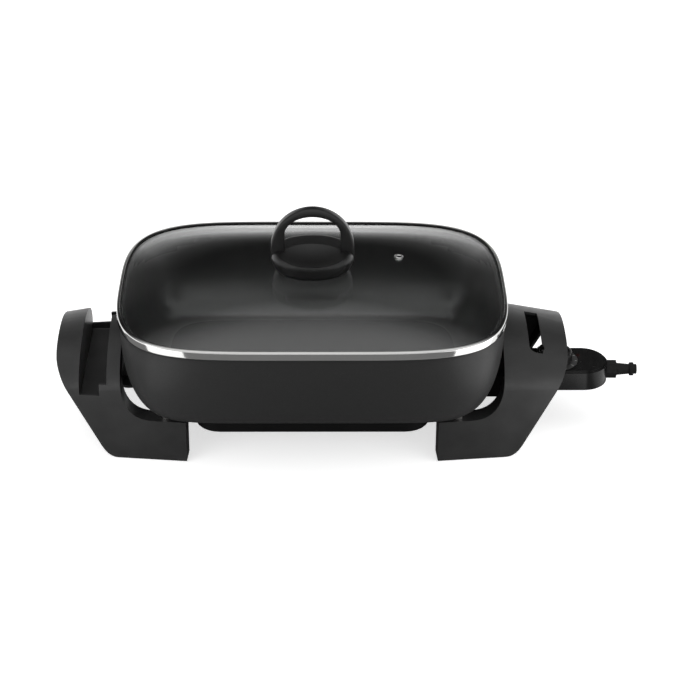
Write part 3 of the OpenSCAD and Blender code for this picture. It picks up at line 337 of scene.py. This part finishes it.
def new_object(name, points, faces):
    """Object from points in millimetres, its faces turned outwards"""
    mesh = bpy.data.meshes.new(name)
    mesh.from_pydata([tuple(MM * float(c) for c in p) for p in points], [], faces)
    bm = bmesh.new()
    bm.from_mesh(mesh)
    bmesh.ops.recalc_face_normals(bm, faces=bm.faces[:])
    bm.to_mesh(mesh)
    bm.free()
    obj = bpy.data.objects.new(name, mesh)
    scene.collection.objects.link(obj)
    return obj


def loft(name, rings, closed=False):
    """Object through rings of equal count, capped at both ends or closed on itself"""
    n = len(rings[0])
    points = [p for ring in rings for p in ring]
    spans = len(rings) if closed else len(rings) - 1
    faces = []
    for k in range(spans):
        a, b = k * n, (k + 1) % len(rings) * n
        faces += [(a + i, a + (i + 1) % n, b + (i + 1) % n, b + i) for i in range(n)]
    if not closed:
        faces += [tuple(range(n)), tuple(range((len(rings) - 1) * n, len(rings) * n))]
    return new_object(name, points, faces)


def at_z(ring, z):
    """Flat ring of points, set at a height"""
    return [(x, y, z) for x, y in ring]


def bake(obj):
    """Turns an object's modifiers into its mesh"""
    graph = bpy.context.evaluated_depsgraph_get()
    done = bpy.data.meshes.new_from_object(obj.evaluated_get(graph))
    old = obj.data
    obj.modifiers.clear()
    obj.data = done
    done.name = obj.name
    bpy.data.meshes.remove(old)
    return obj


def combine(obj, other, operation):
    """Boolean with another object, which is used up"""
    step = obj.modifiers.new("step", "BOOLEAN")
    step.operation = operation
    step.solver = "EXACT"
    step.object = other
    bake(obj)
    used = other.data
    bpy.data.objects.remove(other)
    bpy.data.meshes.remove(used)
    return obj


def soften(obj, width, segments=2, angle=30):
    """Rounds the edges sharper than the angle"""
    step = obj.modifiers.new("edges", "BEVEL")
    step.width = width * MM
    step.segments = segments
    step.limit_method = "ANGLE"
    step.angle_limit = math.radians(angle)
    step.use_clamp_overlap = True
    step.miter_outer = "MITER_ARC"
    return bake(obj)


SAME_POINT, SAME_PLANE = 2e-6, math.radians(0.4)


def dress(node, name, width, segments):
    """Copy of a node's mesh with joined faces and rounded edges, which stands for it"""
    source = frame["nodes"][node]
    bm = bmesh.new()
    bm.from_mesh(source.data)
    bmesh.ops.remove_doubles(bm, verts=bm.verts[:], dist=SAME_POINT)
    bmesh.ops.dissolve_limit(bm, angle_limit=SAME_PLANE, verts=bm.verts[:],
                             edges=bm.edges[:])
    mesh = bpy.data.meshes.new(name)
    bm.to_mesh(mesh)
    bm.free()
    obj = bpy.data.objects.new(name, mesh)
    scene.collection.objects.link(obj)
    soften(obj, width, segments)
    settle(obj, source["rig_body"], NODE_FINISH[node], [node])
    flat = obj.modifiers.new("normals", "WEIGHTED_NORMAL")
    flat.keep_sharp = True
    return bake(obj)


def cylinder(r, z0, z1, x=0.0, y=0.0, count=64):
    """Upright cylinder between two heights"""
    angles = [2 * math.pi * k / count for k in range(count)]
    ring = [(x + r * math.cos(t), y + r * math.sin(t)) for t in angles]
    return loft("cylinder", [at_z(ring, z0), at_z(ring, z1)])


def turn(obj, matrix):
    """Moves an object's mesh; the matrix is in millimetres"""
    scaled = matrix.copy()
    scaled.translation = matrix.translation * MM
    obj.data.transform(scaled)
    return obj


def block(x0, x1, y0, y1, z0, z1):
    """Box between its low and high faces on each axis"""
    ring = [(x0, y0), (x1, y0), (x1, y1), (x0, y1)]
    return loft("block", [at_z(ring, z0), at_z(ring, z1)])


# ---- The outline that the pan and the lid share ----

HALF_L, HALF_W = 204.0, 151.5
SQUARE_L, SQUARE_W = 4.9, 3.3
QUARTER = 64


def even(x, y, count):
    """Points at even steps along a quarter of an outline"""
    run = np.concatenate([[0], np.cumsum(np.hypot(np.diff(x), np.diff(y)))])
    steps = np.linspace(0, run[-1], count + 1)
    return list(zip(np.interp(steps, run, x), np.interp(steps, run, y)))


def squared(half_l, half_w, n, m, count=QUARTER):
    """Squared oval of the given half sizes, each quarter in even steps"""
    t = np.linspace(0, math.pi / 2, 2001)
    q = even(half_l * np.cos(t) ** (2 / n), half_w * np.sin(t) ** (2 / m), count)
    q[-1] = (0.0, q[-1][1])
    q[0] = (q[0][0], 0.0)
    return (q[:-1] + [(-x, y) for x, y in q[:0:-1]] + [(-x, -y) for x, y in q[:-1]]
            + [(x, -y) for x, y in q[:0:-1]])


def outline(inset, n=SQUARE_L, m=SQUARE_W):
    """The shared outline, pulled in by the inset"""
    return squared(HALF_L - inset, HALF_W - inset, n, m)


# ---- Pan ----

# The wall's section is a quarter of an ellipse, from its top down and in to the floor
WALL_TOP, WALL_INSET, WALL_SWEEP = 151.0, 2.8, 42.0
OUTER_DEPTH, INNER_DEPTH, WALL_T = 91.0, 86.0, 3.5
PAN_UNDER, PAN_TOP = WALL_TOP - OUTER_DEPTH, 158.0


def wall_ring(t, inset, depth):
    """Ring of the wall: upright at t = 0, and level with the floor at a quarter turn"""
    s = math.sin(t)
    ring = outline(WALL_INSET + WALL_SWEEP * (1 - math.cos(t)) + inset,
                   SQUARE_L + 3.1 * s, SQUARE_W + 1.4 * s)
    return at_z(ring, WALL_TOP - depth * s)


# The lip as (inset, height), from the wall's outside over the top to its inside
LIP = ((2.72, 152.6), (2.55, 153.7), (2.3, 154.2), (1.85, 154.7), (1.64, 155.1),
       (1.6, 155.6), (1.6, 157.2), (1.68, 157.6), (1.9, 157.88), (2.3, PAN_TOP),
       (8.4, PAN_TOP), (8.85, 157.9), (9.08, 157.6), (9.0, 157.2), (8.5, 156.2),
       (7.6, 154.2), (6.7, 152.2))
WALL_STEPS = 24
quarter_turn = [math.pi / 2 * (1 - k / WALL_STEPS) for k in range(WALL_STEPS + 1)]
rings = [wall_ring(t, 0, OUTER_DEPTH) for t in quarter_turn]
rings += [at_z(outline(inset), z) for inset, z in LIP]
rings += [wall_ring(t, WALL_T, INNER_DEPTH) for t in reversed(quarter_turn)]
pan = loft("pan_body", rings)

# Lugs for the handles, with inner faces that follow the wall, and blind screw holes
LUG_END, LUG_HALF, LUG_Z = 199.85, 30.0, 106.2
COVER_SCREW_X, COVER_SCREW_Y = 93.0, 70.0
SHROUD_SCREW_X, SHROUD_SCREW_Y = 157.0, 29.1
HANDLE_SCREW_X, HANDLE_SCREW_Y = 200.15, 22.0
FLOOR_HOLE_R, HANDLE_HOLE_R, HOLE_SIDES = 1.5, 2.0, 24
for side in (-1, 1):
    ends = []
    for x_in, z in ((191.2, LUG_Z - 10), (193.6, LUG_Z), (196.4, LUG_Z + 10)):
        ends.append([(side * x_in, -LUG_HALF, z), (side * LUG_END, -LUG_HALF, z),
                     (side * LUG_END, LUG_HALF, z), (side * x_in, LUG_HALF, z)])
    combine(pan, loft("lug", ends), "UNION")


def floor_hole(x, y):
    """Cutter for a screw hole up into the pan's floor"""
    return cylinder(FLOOR_HOLE_R, PAN_UNDER - 1, PAN_UNDER + 3.5, x, y, HOLE_SIDES)


holes = []
for sx in (-1, 1):
    for sy in (-1, 1):
        holes.append(floor_hole(sx * COVER_SCREW_X, sy * COVER_SCREW_Y))
        bore = turn(cylinder(HANDLE_HOLE_R, -6, 6, count=HOLE_SIDES),
                    Matrix.Rotation(math.pi / 2, 4, "Y"))
        place = (sx * HANDLE_SCREW_X, sy * HANDLE_SCREW_Y, LUG_Z)
        holes.append(turn(bore, Matrix.Translation(place)))
for sy in (-1, 1):
    holes.append(floor_hole(SHROUD_SCREW_X, sy * SHROUD_SCREW_Y))
cutter = holes[0]
for other in holes[1:]:
    combine(cutter, other, "UNION")
combine(pan, cutter, "DIFFERENCE")
settle(pan, "pan_unit", "nonstick_aluminium", ["pan"])

# The outside and the underside have the outside's coat
pan.data.materials.append(OUTSIDE_COAT)
for face in pan.data.polygons:
    x, y, z = face.center / MM
    outward = face.normal.x * x + face.normal.y * y
    faces_out = z < PAN_TOP - 0.1 and outward > 0
    if face.normal.z < -0.05 or faces_out or z < PAN_UNDER + 2:
        face.material_index = 1


# ---- Lid ----

# The rim is kept just inside the solid's box
RIM_FIT = 0.9992


def rim_sweep(name, profile):
    """Closed band around the lid through a profile of (inset, height)"""
    rings = [at_z([(x * RIM_FIT, y * RIM_FIT) for x, y in outline(inset)], z)
             for inset, z in profile]
    return loft(name, rings, closed=True)


rim = rim_sweep("lid_rim_band", [
    (0.62, 156.10), (0.38, 156.14), (0.20, 156.28), (0.11, 156.55), (0.06, 157.3),
    (0.02, 158.4), (0, 159.6), (0, 161.2), (0.03, 162.4), (0.10, 163.3), (0.20, 163.85),
    (0.38, 164.25), (0.62, 164.50), (0.95, 164.66), (1.4, 164.77), (2.0, 164.89),
    (2.6, 165.01), (3.0, 165.08), (3.26, 165.04), (3.42, 164.85), (3.42, 164.5), (3.3, 164.30),
    (0.95, 164.30), (0.8, 164.15), (0.8, 160.0), (6.5, 160.0), (6.72, 159.9), (6.8, 159.6),
    (6.8, 158.7), (6.72, 158.4), (6.5, 158.3), (0.8, 158.3), (0.8, 156.3), (0.74, 156.16)])
settle(rim, "lid", "stainless_rim", ["lid_rim"])

GLASS_UNDER, GLASS_TOP = 160.05, 163.5
seal = rim_sweep("lid_seal_strip", [
    (0.85, GLASS_UNDER), (2.0, GLASS_UNDER), (2.0, 163.55), (4.45, 163.55), (4.72, 163.66),
    (4.8, 163.9), (4.72, 164.14), (4.45, 164.25), (0.85, 164.25)])
settle(seal, "lid", "seal_rubber", ["lid_seal"])

# The dome's outline goes from an oval in the middle to the squared one at its edge
GLASS_L, GLASS_W = HALF_L - 5.0, HALF_W - 5.0
DOME, DOME_FULL = 19.0, 2.3
KNOB_HOLE_R = 4.5
VENT_X, VENT_Y, VENT_R = 92.0, 34.0, 3.6


def dome_powers(s):
    """Powers of the dome's outline at the share s of its full size"""
    return 2 + 2.9 * s, 2 + 1.3 * s


def dome_ring(s, z):
    """Ring of the dome over the height z of its edge"""
    ring = squared(GLASS_L * s, GLASS_W * s, *dome_powers(s))
    return at_z(ring, z + DOME * (1 - s ** DOME_FULL))


# Shares of the dome's full size at which its rings lie, from the middle to the edge
DOME_STEPS = 40
spread = [0.018, 0.04] + [0.04 + 0.94 * (k + 1) / DOME_STEPS for k in range(DOME_STEPS)]
spread += [0.993, 1.0]
rings = [dome_ring(s, GLASS_UNDER) for s in spread]
for inset, z in ((2.4, GLASS_UNDER), (2.1, GLASS_UNDER + 0.15), (2.05, GLASS_UNDER + 0.45),
                 (2.05, GLASS_TOP - 0.4), (2.1, GLASS_TOP - 0.15), (2.4, GLASS_TOP)):
    rings.append(at_z(outline(inset), z))
rings += [dome_ring(s, GLASS_TOP) for s in reversed(spread)]
pane = loft("lid_glass_dome", rings)
combine(pane, cylinder(KNOB_HOLE_R, 150, 200), "DIFFERENCE")


def dome_height(x, y):
    """Height of the dome over its edge, found by halving"""
    low, high = 0.02, 1.0
    for _ in range(40):
        s = (low + high) / 2
        n, m = dome_powers(s)
        v = (abs(x) / GLASS_L / s) ** n + (abs(y) / GLASS_W / s) ** m
        low, high = (s, high) if v > 1 else (low, s)
    return DOME * (1 - low ** DOME_FULL)


vent_z = GLASS_TOP + dome_height(VENT_X, VENT_Y)
NEAR = 3.0
slope_x = (dome_height(VENT_X + NEAR, VENT_Y) - dome_height(VENT_X - NEAR, VENT_Y)) / 2 / NEAR
slope_y = (dome_height(VENT_X, VENT_Y + NEAR) - dome_height(VENT_X, VENT_Y - NEAR)) / 2 / NEAR
lean = Vector((0, 0, 1)).rotation_difference(Vector((-slope_x, -slope_y, 1))).to_matrix()
at_vent = Matrix.Translation((VENT_X, VENT_Y, vent_z)) @ lean.to_4x4()
combine(pane, turn(cylinder(VENT_R, -12, 12), at_vent), "DIFFERENCE")
settle(pane, "lid", "tempered_glass", ["lid_glass"], sharp=24)


def lathe(name, profile, count=48):
    """Closed ring turned about Z from a profile of (radius, height)"""
    angles = [2 * math.pi * k / count for k in range(count)]
    rings = [[(r * math.cos(t), r * math.sin(t), z) for t in angles] for r, z in profile]
    return loft(name, rings, closed=True)


eyelet = lathe("vent_eyelet_ring", [
    (2.7, -4.4), (2.8, -4.52), (4.6, -4.55), (4.8, -4.4), (4.8, -3.8), (4.65, -3.65),
    (3.45, -3.65), (3.45, 0.15), (4.62, 0.15), (4.8, 0.3), (4.78, 0.6), (4.5, 0.92),
    (4.0, 1.05), (3.4, 1.0), (2.95, 0.8), (2.74, 0.5), (2.7, 0.1)])
settle(turn(eyelet, at_vent), "lid", "stainless_rim", ["vent_eyelet"])


# ---- Knob ----

KNOB_Z, BASE_H, LOOP_TOP, LOOP_FOOT = 183.5, 22.0, 252.7, 192.65
KNOB_L, KNOB_W = 43.5, 36.0
KNOB_OVAL = 0.9
KNOB_BORE_R, KNOB_BORE_DEPTH = 2.45, 14.0


def knob_ring(pull_x, pull_y, z, count=128):
    """Oval ring of the base, pulled in from its full size"""
    ring = []
    for k in range(count):
        t = 2 * math.pi * (k + 0.5) / count
        c, s = math.cos(t), math.sin(t)
        ring.append(((KNOB_L - pull_x) * math.copysign(abs(c) ** KNOB_OVAL, c),
                     (KNOB_W - pull_y) * math.copysign(abs(s) ** KNOB_OVAL, s), z))
    return ring


def smooth_through(points, steps):
    """Catmull-Rom curve through points of any dimension"""
    out = []
    for k in range(len(points) - 1):
        a = np.array(points[max(k - 1, 0)], float)
        b, c = np.array(points[k], float), np.array(points[k + 1], float)
        d = np.array(points[min(k + 2, len(points) - 1)], float)
        for i in range(steps):
            t = i / steps
            out.append(0.5 * (2 * b + (c - a) * t + (2 * a - 5 * b + 4 * c - d) * t * t
                              + (3 * b - a - 3 * c + d) * t ** 3))
    return out + [np.array(points[-1], float)]


# The base's side as (pull along X, pull along Y, height), up to its round shoulder
bowl = smooth_through([(7, 5, 0.2), (3.5, 1.7, 4), (1.1, 0.5, 9), (0.05, 0.05, 14),
                       (1.25, 0.45, 18), (3.65, 1.1, 20.65), (5.1, 2.2, 21.55)], 5)
bowl += [(6.6, 3.6, 21.9), (9.0, 5.6, BASE_H)]
base = loft("knob_bowl", [knob_ring(8.2, 6.2, KNOB_Z)]
            + [knob_ring(px, py, KNOB_Z + z) for px, py, z in bowl])

# The scoop that the fingers reach into is cut by a large ball
SCOOP_R, SCOOP_Y, SCOOP_DIP = 150.0, -26.6, 5.0
ball = bpy.data.meshes.new("ball")
bm = bmesh.new()
bmesh.ops.create_icosphere(bm, subdivisions=6, radius=SCOOP_R * MM)
bm.to_mesh(ball)
bm.free()
scoop = bpy.data.objects.new("scoop", ball)
scene.collection.objects.link(scoop)
turn(scoop, Matrix.Translation((0, SCOOP_Y, KNOB_Z + BASE_H + SCOOP_R - SCOOP_DIP)))
combine(base, scoop, "DIFFERENCE")
soften(base, 0.5, 3, angle=14)

# Notches for the loop's feet, with play all round and open outwards, and the screw's bore
LOOP_L, LOOP_RISE, LOOP_HALF_W = 43.5, 44.5, 6.5
HOLE_L, HOLE_RISE, HOLE_TOP = 29.0, 20.0, 244.5
PLAY = 0.15
for side in (-1, 1):
    notch = block(*sorted((side * (HOLE_L - PLAY), side * (KNOB_L + 2.5))),
                  -LOOP_HALF_W - PLAY, LOOP_HALF_W + PLAY, LOOP_FOOT - PLAY, KNOB_Z + 26.5)
    combine(base, notch, "DIFFERENCE")
screw_bore = cylinder(KNOB_BORE_R, KNOB_Z - 1, KNOB_Z + KNOB_BORE_DEPTH)
combine(base, screw_bore, "DIFFERENCE")
settle(base, "lid", "knob_plastic", ["knob_base"], sharp=30)


def loop_section(outer, inner, half_d=LOOP_HALF_W, r_out=3.2, r_in=1.3, steps=5):
    """Rounded cross-section of the loop between its outer and inner points"""
    o, i = np.array(outer), np.array(inner)
    reach = np.linalg.norm(o - i)
    d = (o - i) / reach
    r_out, r_in = min(r_out, reach * 0.45), min(r_in, reach * 0.3)
    flat = []
    for a0, y0, r, start in ((reach - r_out, half_d - r_out, r_out, 0),
                             (r_in, half_d - r_in, r_in, 90)):
        for k in range(steps + 1):
            t = math.radians(start + 90 * k / steps)
            flat.append((a0 + r * math.cos(t), y0 + r * math.sin(t)))
    flat = flat + [(a, -y) for a, y in reversed(flat)]
    return [(i[0] + d[0] * a, y, i[1] + d[1] * a) for a, y in flat]


# Stations of the loop: up its right leg, over its arch and down its left leg
LEG_STEPS, ARCH_STEPS = 8, 80
stations = []
for k in range(LEG_STEPS + 1):
    u = k / LEG_STEPS
    stations.append(((LOOP_L, LOOP_FOOT + u * (LOOP_TOP - LOOP_RISE - LOOP_FOOT)),
                     (HOLE_L, LOOP_FOOT + u * (HOLE_TOP - HOLE_RISE - LOOP_FOOT))))
for k in range(1, ARCH_STEPS):
    t = math.pi * k / ARCH_STEPS
    stations.append(((LOOP_L * math.cos(t), LOOP_TOP - LOOP_RISE * (1 - math.sin(t))),
                     (HOLE_L * math.cos(t), HOLE_TOP - HOLE_RISE * (1 - math.sin(t)))))
right_leg = stations[:LEG_STEPS + 1]
stations += [((-ox, oz), (-ix, iz)) for (ox, oz), (ix, iz) in reversed(right_leg)]
loop = loft("knob_loop_handle", [loop_section(o, i) for o, i in stations])
settle(loop, "lid", "knob_plastic", ["knob_loop"])


# ---- Moulded parts that keep the node's own shape: bevel width and segments ----

for node, name, width, segments in (
        ("left_leg_handle", "left_leg_moulding", 1.1, 3),
        ("right_leg_handle", "right_leg_moulding", 1.1, 3),
        ("lid_rest_tray", "lid_rest_floor", 0.4, 2),
        ("element_cover", "element_cover_dish", 0.5, 2),
        ("terminal_shroud", "terminal_socket", 0.5, 2),
        ("control_upper_shell", "control_top_case", 0.5, 2),
        ("control_lower_shell", "control_bottom_case", 0.5, 2),
        ("dial_plate", "dial_scale_plate", 0.1, 1),
        ("strain_relief", "cord_strain_relief", 0.5, 2),
        ("rubber_feet", "foot_pads", 0.3, 2),
        ("leg_spacers", "leg_spacer_posts", 0.3, 2),
        ("lamp_lens", "lamp_window", 0.3, 2),
        ("pin_insulators", "pin_bushes", 0.3, 2)):
    dress(node, name, width, segments)


# ---- Dial ----

DIAL_X, DIAL_Z = 260.0, 73.3
RIBS, RIB_ROUNDING = 24, 0.6


def dial_ring(r, rib, z, count=RIBS * 12):
    """Ring of the dial: a circle with rounded ribs of the given height"""
    ring = []
    for k in range(count):
        t = 2 * math.pi * k / count
        wave = max(0.0, math.cos(RIBS * t)) ** RIB_ROUNDING
        reach = r + rib * wave
        ring.append((DIAL_X + reach * math.cos(t), reach * math.sin(t), DIAL_Z + z))
    return ring


# From the spindle's hole round under the dial, up its ribbed side and in over its top
DIAL_SIDE = (
    (3, 0, 7.5), (3, 0, 0.2), (3.2, 0, 0), (19.9, 0, 0), (20.25, 0, 0.2), (20.3, 0, 0.5),
    (20.3, 0, 1.1), (20.15, 0, 1.4), (19.8, 0.1, 1.5), (18.9, 1.1, 1.7), (18.9, 1.1, 4),
    (18.8, 1.1, 7), (18.7, 1.0, 8.6), (18.6, 0.8, 9.3), (18.3, 0.35, 9.9), (17.9, 0.05, 10.3),
    (17.3, 0, 10.48), (16.7, 0, 10.5), (16.2, 0, 10.4), (15.8, 0, 10.1), (15.4, 0, 9.9),
    (8, 0, 9.85), (2, 0, 9.85))
dial = loft("dial_knob", [dial_ring(r, rib, z) for r, rib, z in DIAL_SIDE])
settle(dial, "dial", "dial_plastic", ["temperature_dial"], sharp=40)

GRIP_L, GRIP_W, GRIP_FOOT, GRIP_TOP = 14.5, 2.6, 9.4, 10.5
grip = block(DIAL_X - GRIP_L, DIAL_X + GRIP_L, -GRIP_W, GRIP_W,
             DIAL_Z + GRIP_FOOT, DIAL_Z + GRIP_TOP)
grip.name = "dial_grip_bar"
soften(grip, 0.45, 3)
settle(grip, "dial", "dial_plastic")

# At rest the dial points at the scale's first mark, and it turns clockwise over the rest
PRINT_T = 0.05
POINTER_FROM, POINTER_TO, POINTER_W = 13.6, 6.0, 0.5
pointer = block(DIAL_X - POINTER_FROM, DIAL_X - POINTER_TO, -POINTER_W, POINTER_W,
                DIAL_Z + GRIP_TOP - PRINT_T, DIAL_Z + GRIP_TOP + PRINT_T)
pointer.name = "dial_pointer_line"
settle(pointer, "dial", "dial_plastic", material=PRINT)

PLATE_TOP = 73.0
MARKS, DIAL_TURN = 10, 270
# Radii at which a long and a short mark start and at which both end, and their half width
LONG_MARK, SHORT_MARK, MARK_END, MARK_W = 21.6, 22.8, 24.8, 0.3
marks = None
for k in range(MARKS + 1):
    mark = block(SHORT_MARK if k % 2 else LONG_MARK, MARK_END, -MARK_W, MARK_W,
                 PLATE_TOP - PRINT_T, PLATE_TOP + PRINT_T)
    angle = math.radians(180 - DIAL_TURN * k / MARKS)
    turn(mark, Matrix.Translation((DIAL_X, 0, 0)) @ Matrix.Rotation(angle, 4, "Z"))
    marks = combine(marks, mark, "UNION") if marks else mark
marks.name = "dial_scale_marks"
settle(marks, "control", "dial_plate_grey", material=PRINT)


# ---- Camera, lamps and floor ----

CAMERA_PLACE = Vector((0.002358, -1.992835, 1.197132))
CAMERA_PITCH, CAMERA_YAW, CAMERA_ROLL = map(math.radians, (29.180, 1.0878, 0.5192))
CAMERA_LENS, CAMERA_SENSOR, CAMERA_FAR = 109.286, 36, 100
camera = bpy.data.objects.new("camera", bpy.data.cameras.new("camera"))
scene.collection.objects.link(camera)
camera.data.lens = CAMERA_LENS
camera.data.sensor_width = CAMERA_SENSOR
camera.data.clip_end = CAMERA_FAR
forward = Vector((math.sin(CAMERA_YAW) * math.cos(CAMERA_PITCH),
                  math.cos(CAMERA_YAW) * math.cos(CAMERA_PITCH), -math.sin(CAMERA_PITCH)))
right = forward.cross(Vector((0, 0, 1))).normalized()
up = right.cross(forward)
right, up = (right * math.cos(CAMERA_ROLL) + up * math.sin(CAMERA_ROLL),
             up * math.cos(CAMERA_ROLL) - right * math.sin(CAMERA_ROLL))
pose = Matrix((right, up, -forward)).transposed().to_4x4()
pose.translation = CAMERA_PLACE
camera.matrix_world = pose
scene.camera = camera


def softbox(name, place, aim, size, watts, in_gloss=True):
    """Rectangular lamp that looks from its place at a point"""
    light = bpy.data.lights.new(name, "AREA")
    light.shape = "RECTANGLE"
    light.size, light.size_y = size
    light.energy = watts
    lamp = bpy.data.objects.new(name, light)
    lamp.location = place
    lamp.rotation_euler = (Vector(aim) - Vector(place)).to_track_quat("-Z", "Y").to_euler()
    lamp.visible_camera = False
    lamp.visible_glossy = lamp.visible_transmission = in_gloss
    scene.collection.objects.link(lamp)


MIDDLE = (0, 0, 0.1)
softbox("top_softbox", (-0.1, 0.5, 1.75), MIDDLE, (1.7, 1.1), 3, in_gloss=False)
softbox("front_softbox", (-1.5, -1.4, 0.42), MIDDLE, (1.2, 0.6), 5.6, in_gloss=False)
softbox("left_softbox", (-1.45, -0.75, 0.85), MIDDLE, (0.7, 1.0), 1.6)
softbox("right_softbox", (1.45, -0.75, 0.85), MIDDLE, (0.7, 1.0), 0.8)

# Small lamps before the front corners, which make the white sections on the steel rim
softbox("left_card", (-0.2495, -0.230, 0.078), (-0.152, -0.139, 0.078), (0.154, 0.145), 0.095)
softbox("right_card", (0.279, -0.1755, 0.078), (0.162, -0.134, 0.078), (0.197, 0.145), 0.14)


def flat_sheet(name, x0, x1, y0, y1, z, finish):
    """Level rectangle of one face, in metres"""
    mesh = bpy.data.meshes.new(name)
    mesh.from_pydata([(x0, y0, z), (x1, y0, z), (x1, y1, z), (x0, y1, z)], [], [(0, 1, 2, 3)])
    mesh.materials.append(finish.mat)
    obj = bpy.data.objects.new(name, mesh)
    scene.collection.objects.link(obj)
    return obj


# The lift brings the lit floor up to white for the camera, gloss and glass
FLOOR_REACH, FLOOR_LIFT = 14.0, 0.62
paper = Finish("studio floor")
paper.set(Roughness=0.9, Specular_IOR_Level=0.1)
paper.colours(paper.noise(3, detail=3), [(0.3, grey(0.80)), (0.7, grey(0.82))])
lifted = maths(paper.tree, "MAXIMUM", *ray_kinds(paper.tree))
glow = paper.add("ShaderNodeEmission")
glow.inputs["Color"].default_value = (1, 1, 1, 1)
paper.join(maths(paper.tree, "MULTIPLY", lifted, FLOOR_LIFT), glow.inputs["Strength"])
total = paper.add("ShaderNodeAddShader")
paper.join(paper.shader.outputs[0], total.inputs[0])
paper.join(glow.outputs[0], total.inputs[1])
paper.surface(total)
floor = flat_sheet("floor", -FLOOR_REACH, FLOOR_REACH, -FLOOR_REACH, FLOOR_REACH, 0, paper)

# Only gloss sees this card, which gives the rim's long side its grey
felt = Finish("grey felt")
felt.set(Roughness=0.9, Specular_IOR_Level=0.0)
felt.colours(felt.noise(40, detail=3), [(0.3, grey(0.25)), (0.7, grey(0.27))])
card = flat_sheet("grey_card", -0.62, 0.39, -0.95, 0.1, 0.0004, felt)
card.visible_camera = card.visible_diffuse = False
card.visible_transmission = card.visible_shadow = False


# ---- World: its brightness changes with direction, as the studio's did ----

world = bpy.data.worlds.new("studio")
world.use_nodes = True
scene.world = world
sky, links = world.node_tree.nodes, world.node_tree.links
sky.clear()


def formula(operation, *values):
    """Maths node of the world"""
    return maths(world.node_tree, operation, *values)


def levels(value, stops):
    """Brightness over a value, through straight lines between the stops"""
    brightest = max(bright for _, bright in stops)
    ramp = sky.new("ShaderNodeValToRGB")
    fill_ramp(ramp.color_ramp, [(place, grey(bright / brightest)) for place, bright in stops])
    links.new(value, ramp.inputs["Fac"])
    return formula("MULTIPLY", ramp.outputs["Color"], brightest)


coords = sky.new("ShaderNodeTexCoord")
split = sky.new("ShaderNodeSeparateXYZ")
links.new(coords.outputs["Generated"], split.inputs[0])
across, along, rise = split.outputs

# Behind the object: a bright band that stands higher towards the sides, and the ceiling
BAND_WIDTH, BAND_SLOPE = 0.21, 1.1
aside = formula("MINIMUM", formula("ABSOLUTE", across), BAND_WIDTH)
sunk = formula("SUBTRACT", rise, formula("MULTIPLY", aside, BAND_SLOPE))
horizon = levels(sunk, ((0.0, 1.15), (0.035, 1.0), (0.07, 0.60), (0.113, 0.27), (0.157, 0.10),
                        (0.19, 0.05), (0.23, 0.015), (1.0, 0.015)))
ceiling = levels(rise, ((0.0, 0.0), (0.62, 0.02), (0.72, 0.35), (0.82, 0.9), (1.0, 1.3)))
behind = formula("MAXIMUM", horizon, ceiling)

# Before the object: the room that the camera stands in, and the turn from one to the other
TURN_RATE = 4.0
before = levels(rise, ((0.0, 0.55), (0.10, 0.55), (0.42, 0.60), (0.46, 1.15), (0.70, 1.05),
                       (1.0, 0.9)))
facing = formula("SUBTRACT", 0.5, formula("MULTIPLY", along, TURN_RATE))
turned = formula("MINIMUM", formula("MAXIMUM", facing, 0.0), 1.0)
difference = formula("SUBTRACT", before, behind)
brightness = formula("ADD", behind, formula("MULTIPLY", turned, difference))

# The camera sees white everywhere; gloss and glass see it near the horizon behind the object
near_horizon = levels(sunk, ((0.0, 1.0), (0.035, 1.0), (0.06, 0.0), (1.0, 0.0)))
backdrop = formula("MULTIPLY", near_horizon, formula("SUBTRACT", 1.0, turned))
from_camera, mirrored = ray_kinds(world.node_tree)
sees_white = formula("MAXIMUM", from_camera, formula("MULTIPLY", mirrored, backdrop))
room, white = sky.new("ShaderNodeBackground"), sky.new("ShaderNodeBackground")
for background in (room, white):
    background.inputs["Color"].default_value = (1, 1, 1, 1)
links.new(brightness, room.inputs["Strength"])
mixed = sky.new("ShaderNodeMixShader")
links.new(sees_white, mixed.inputs[0])
links.new(room.outputs[0], mixed.inputs[1])
links.new(white.outputs[0], mixed.inputs[2])
out = sky.new("ShaderNodeOutputWorld")
links.new(mixed.outputs[0], out.inputs["Surface"])

scene.view_settings.view_transform = "Standard"
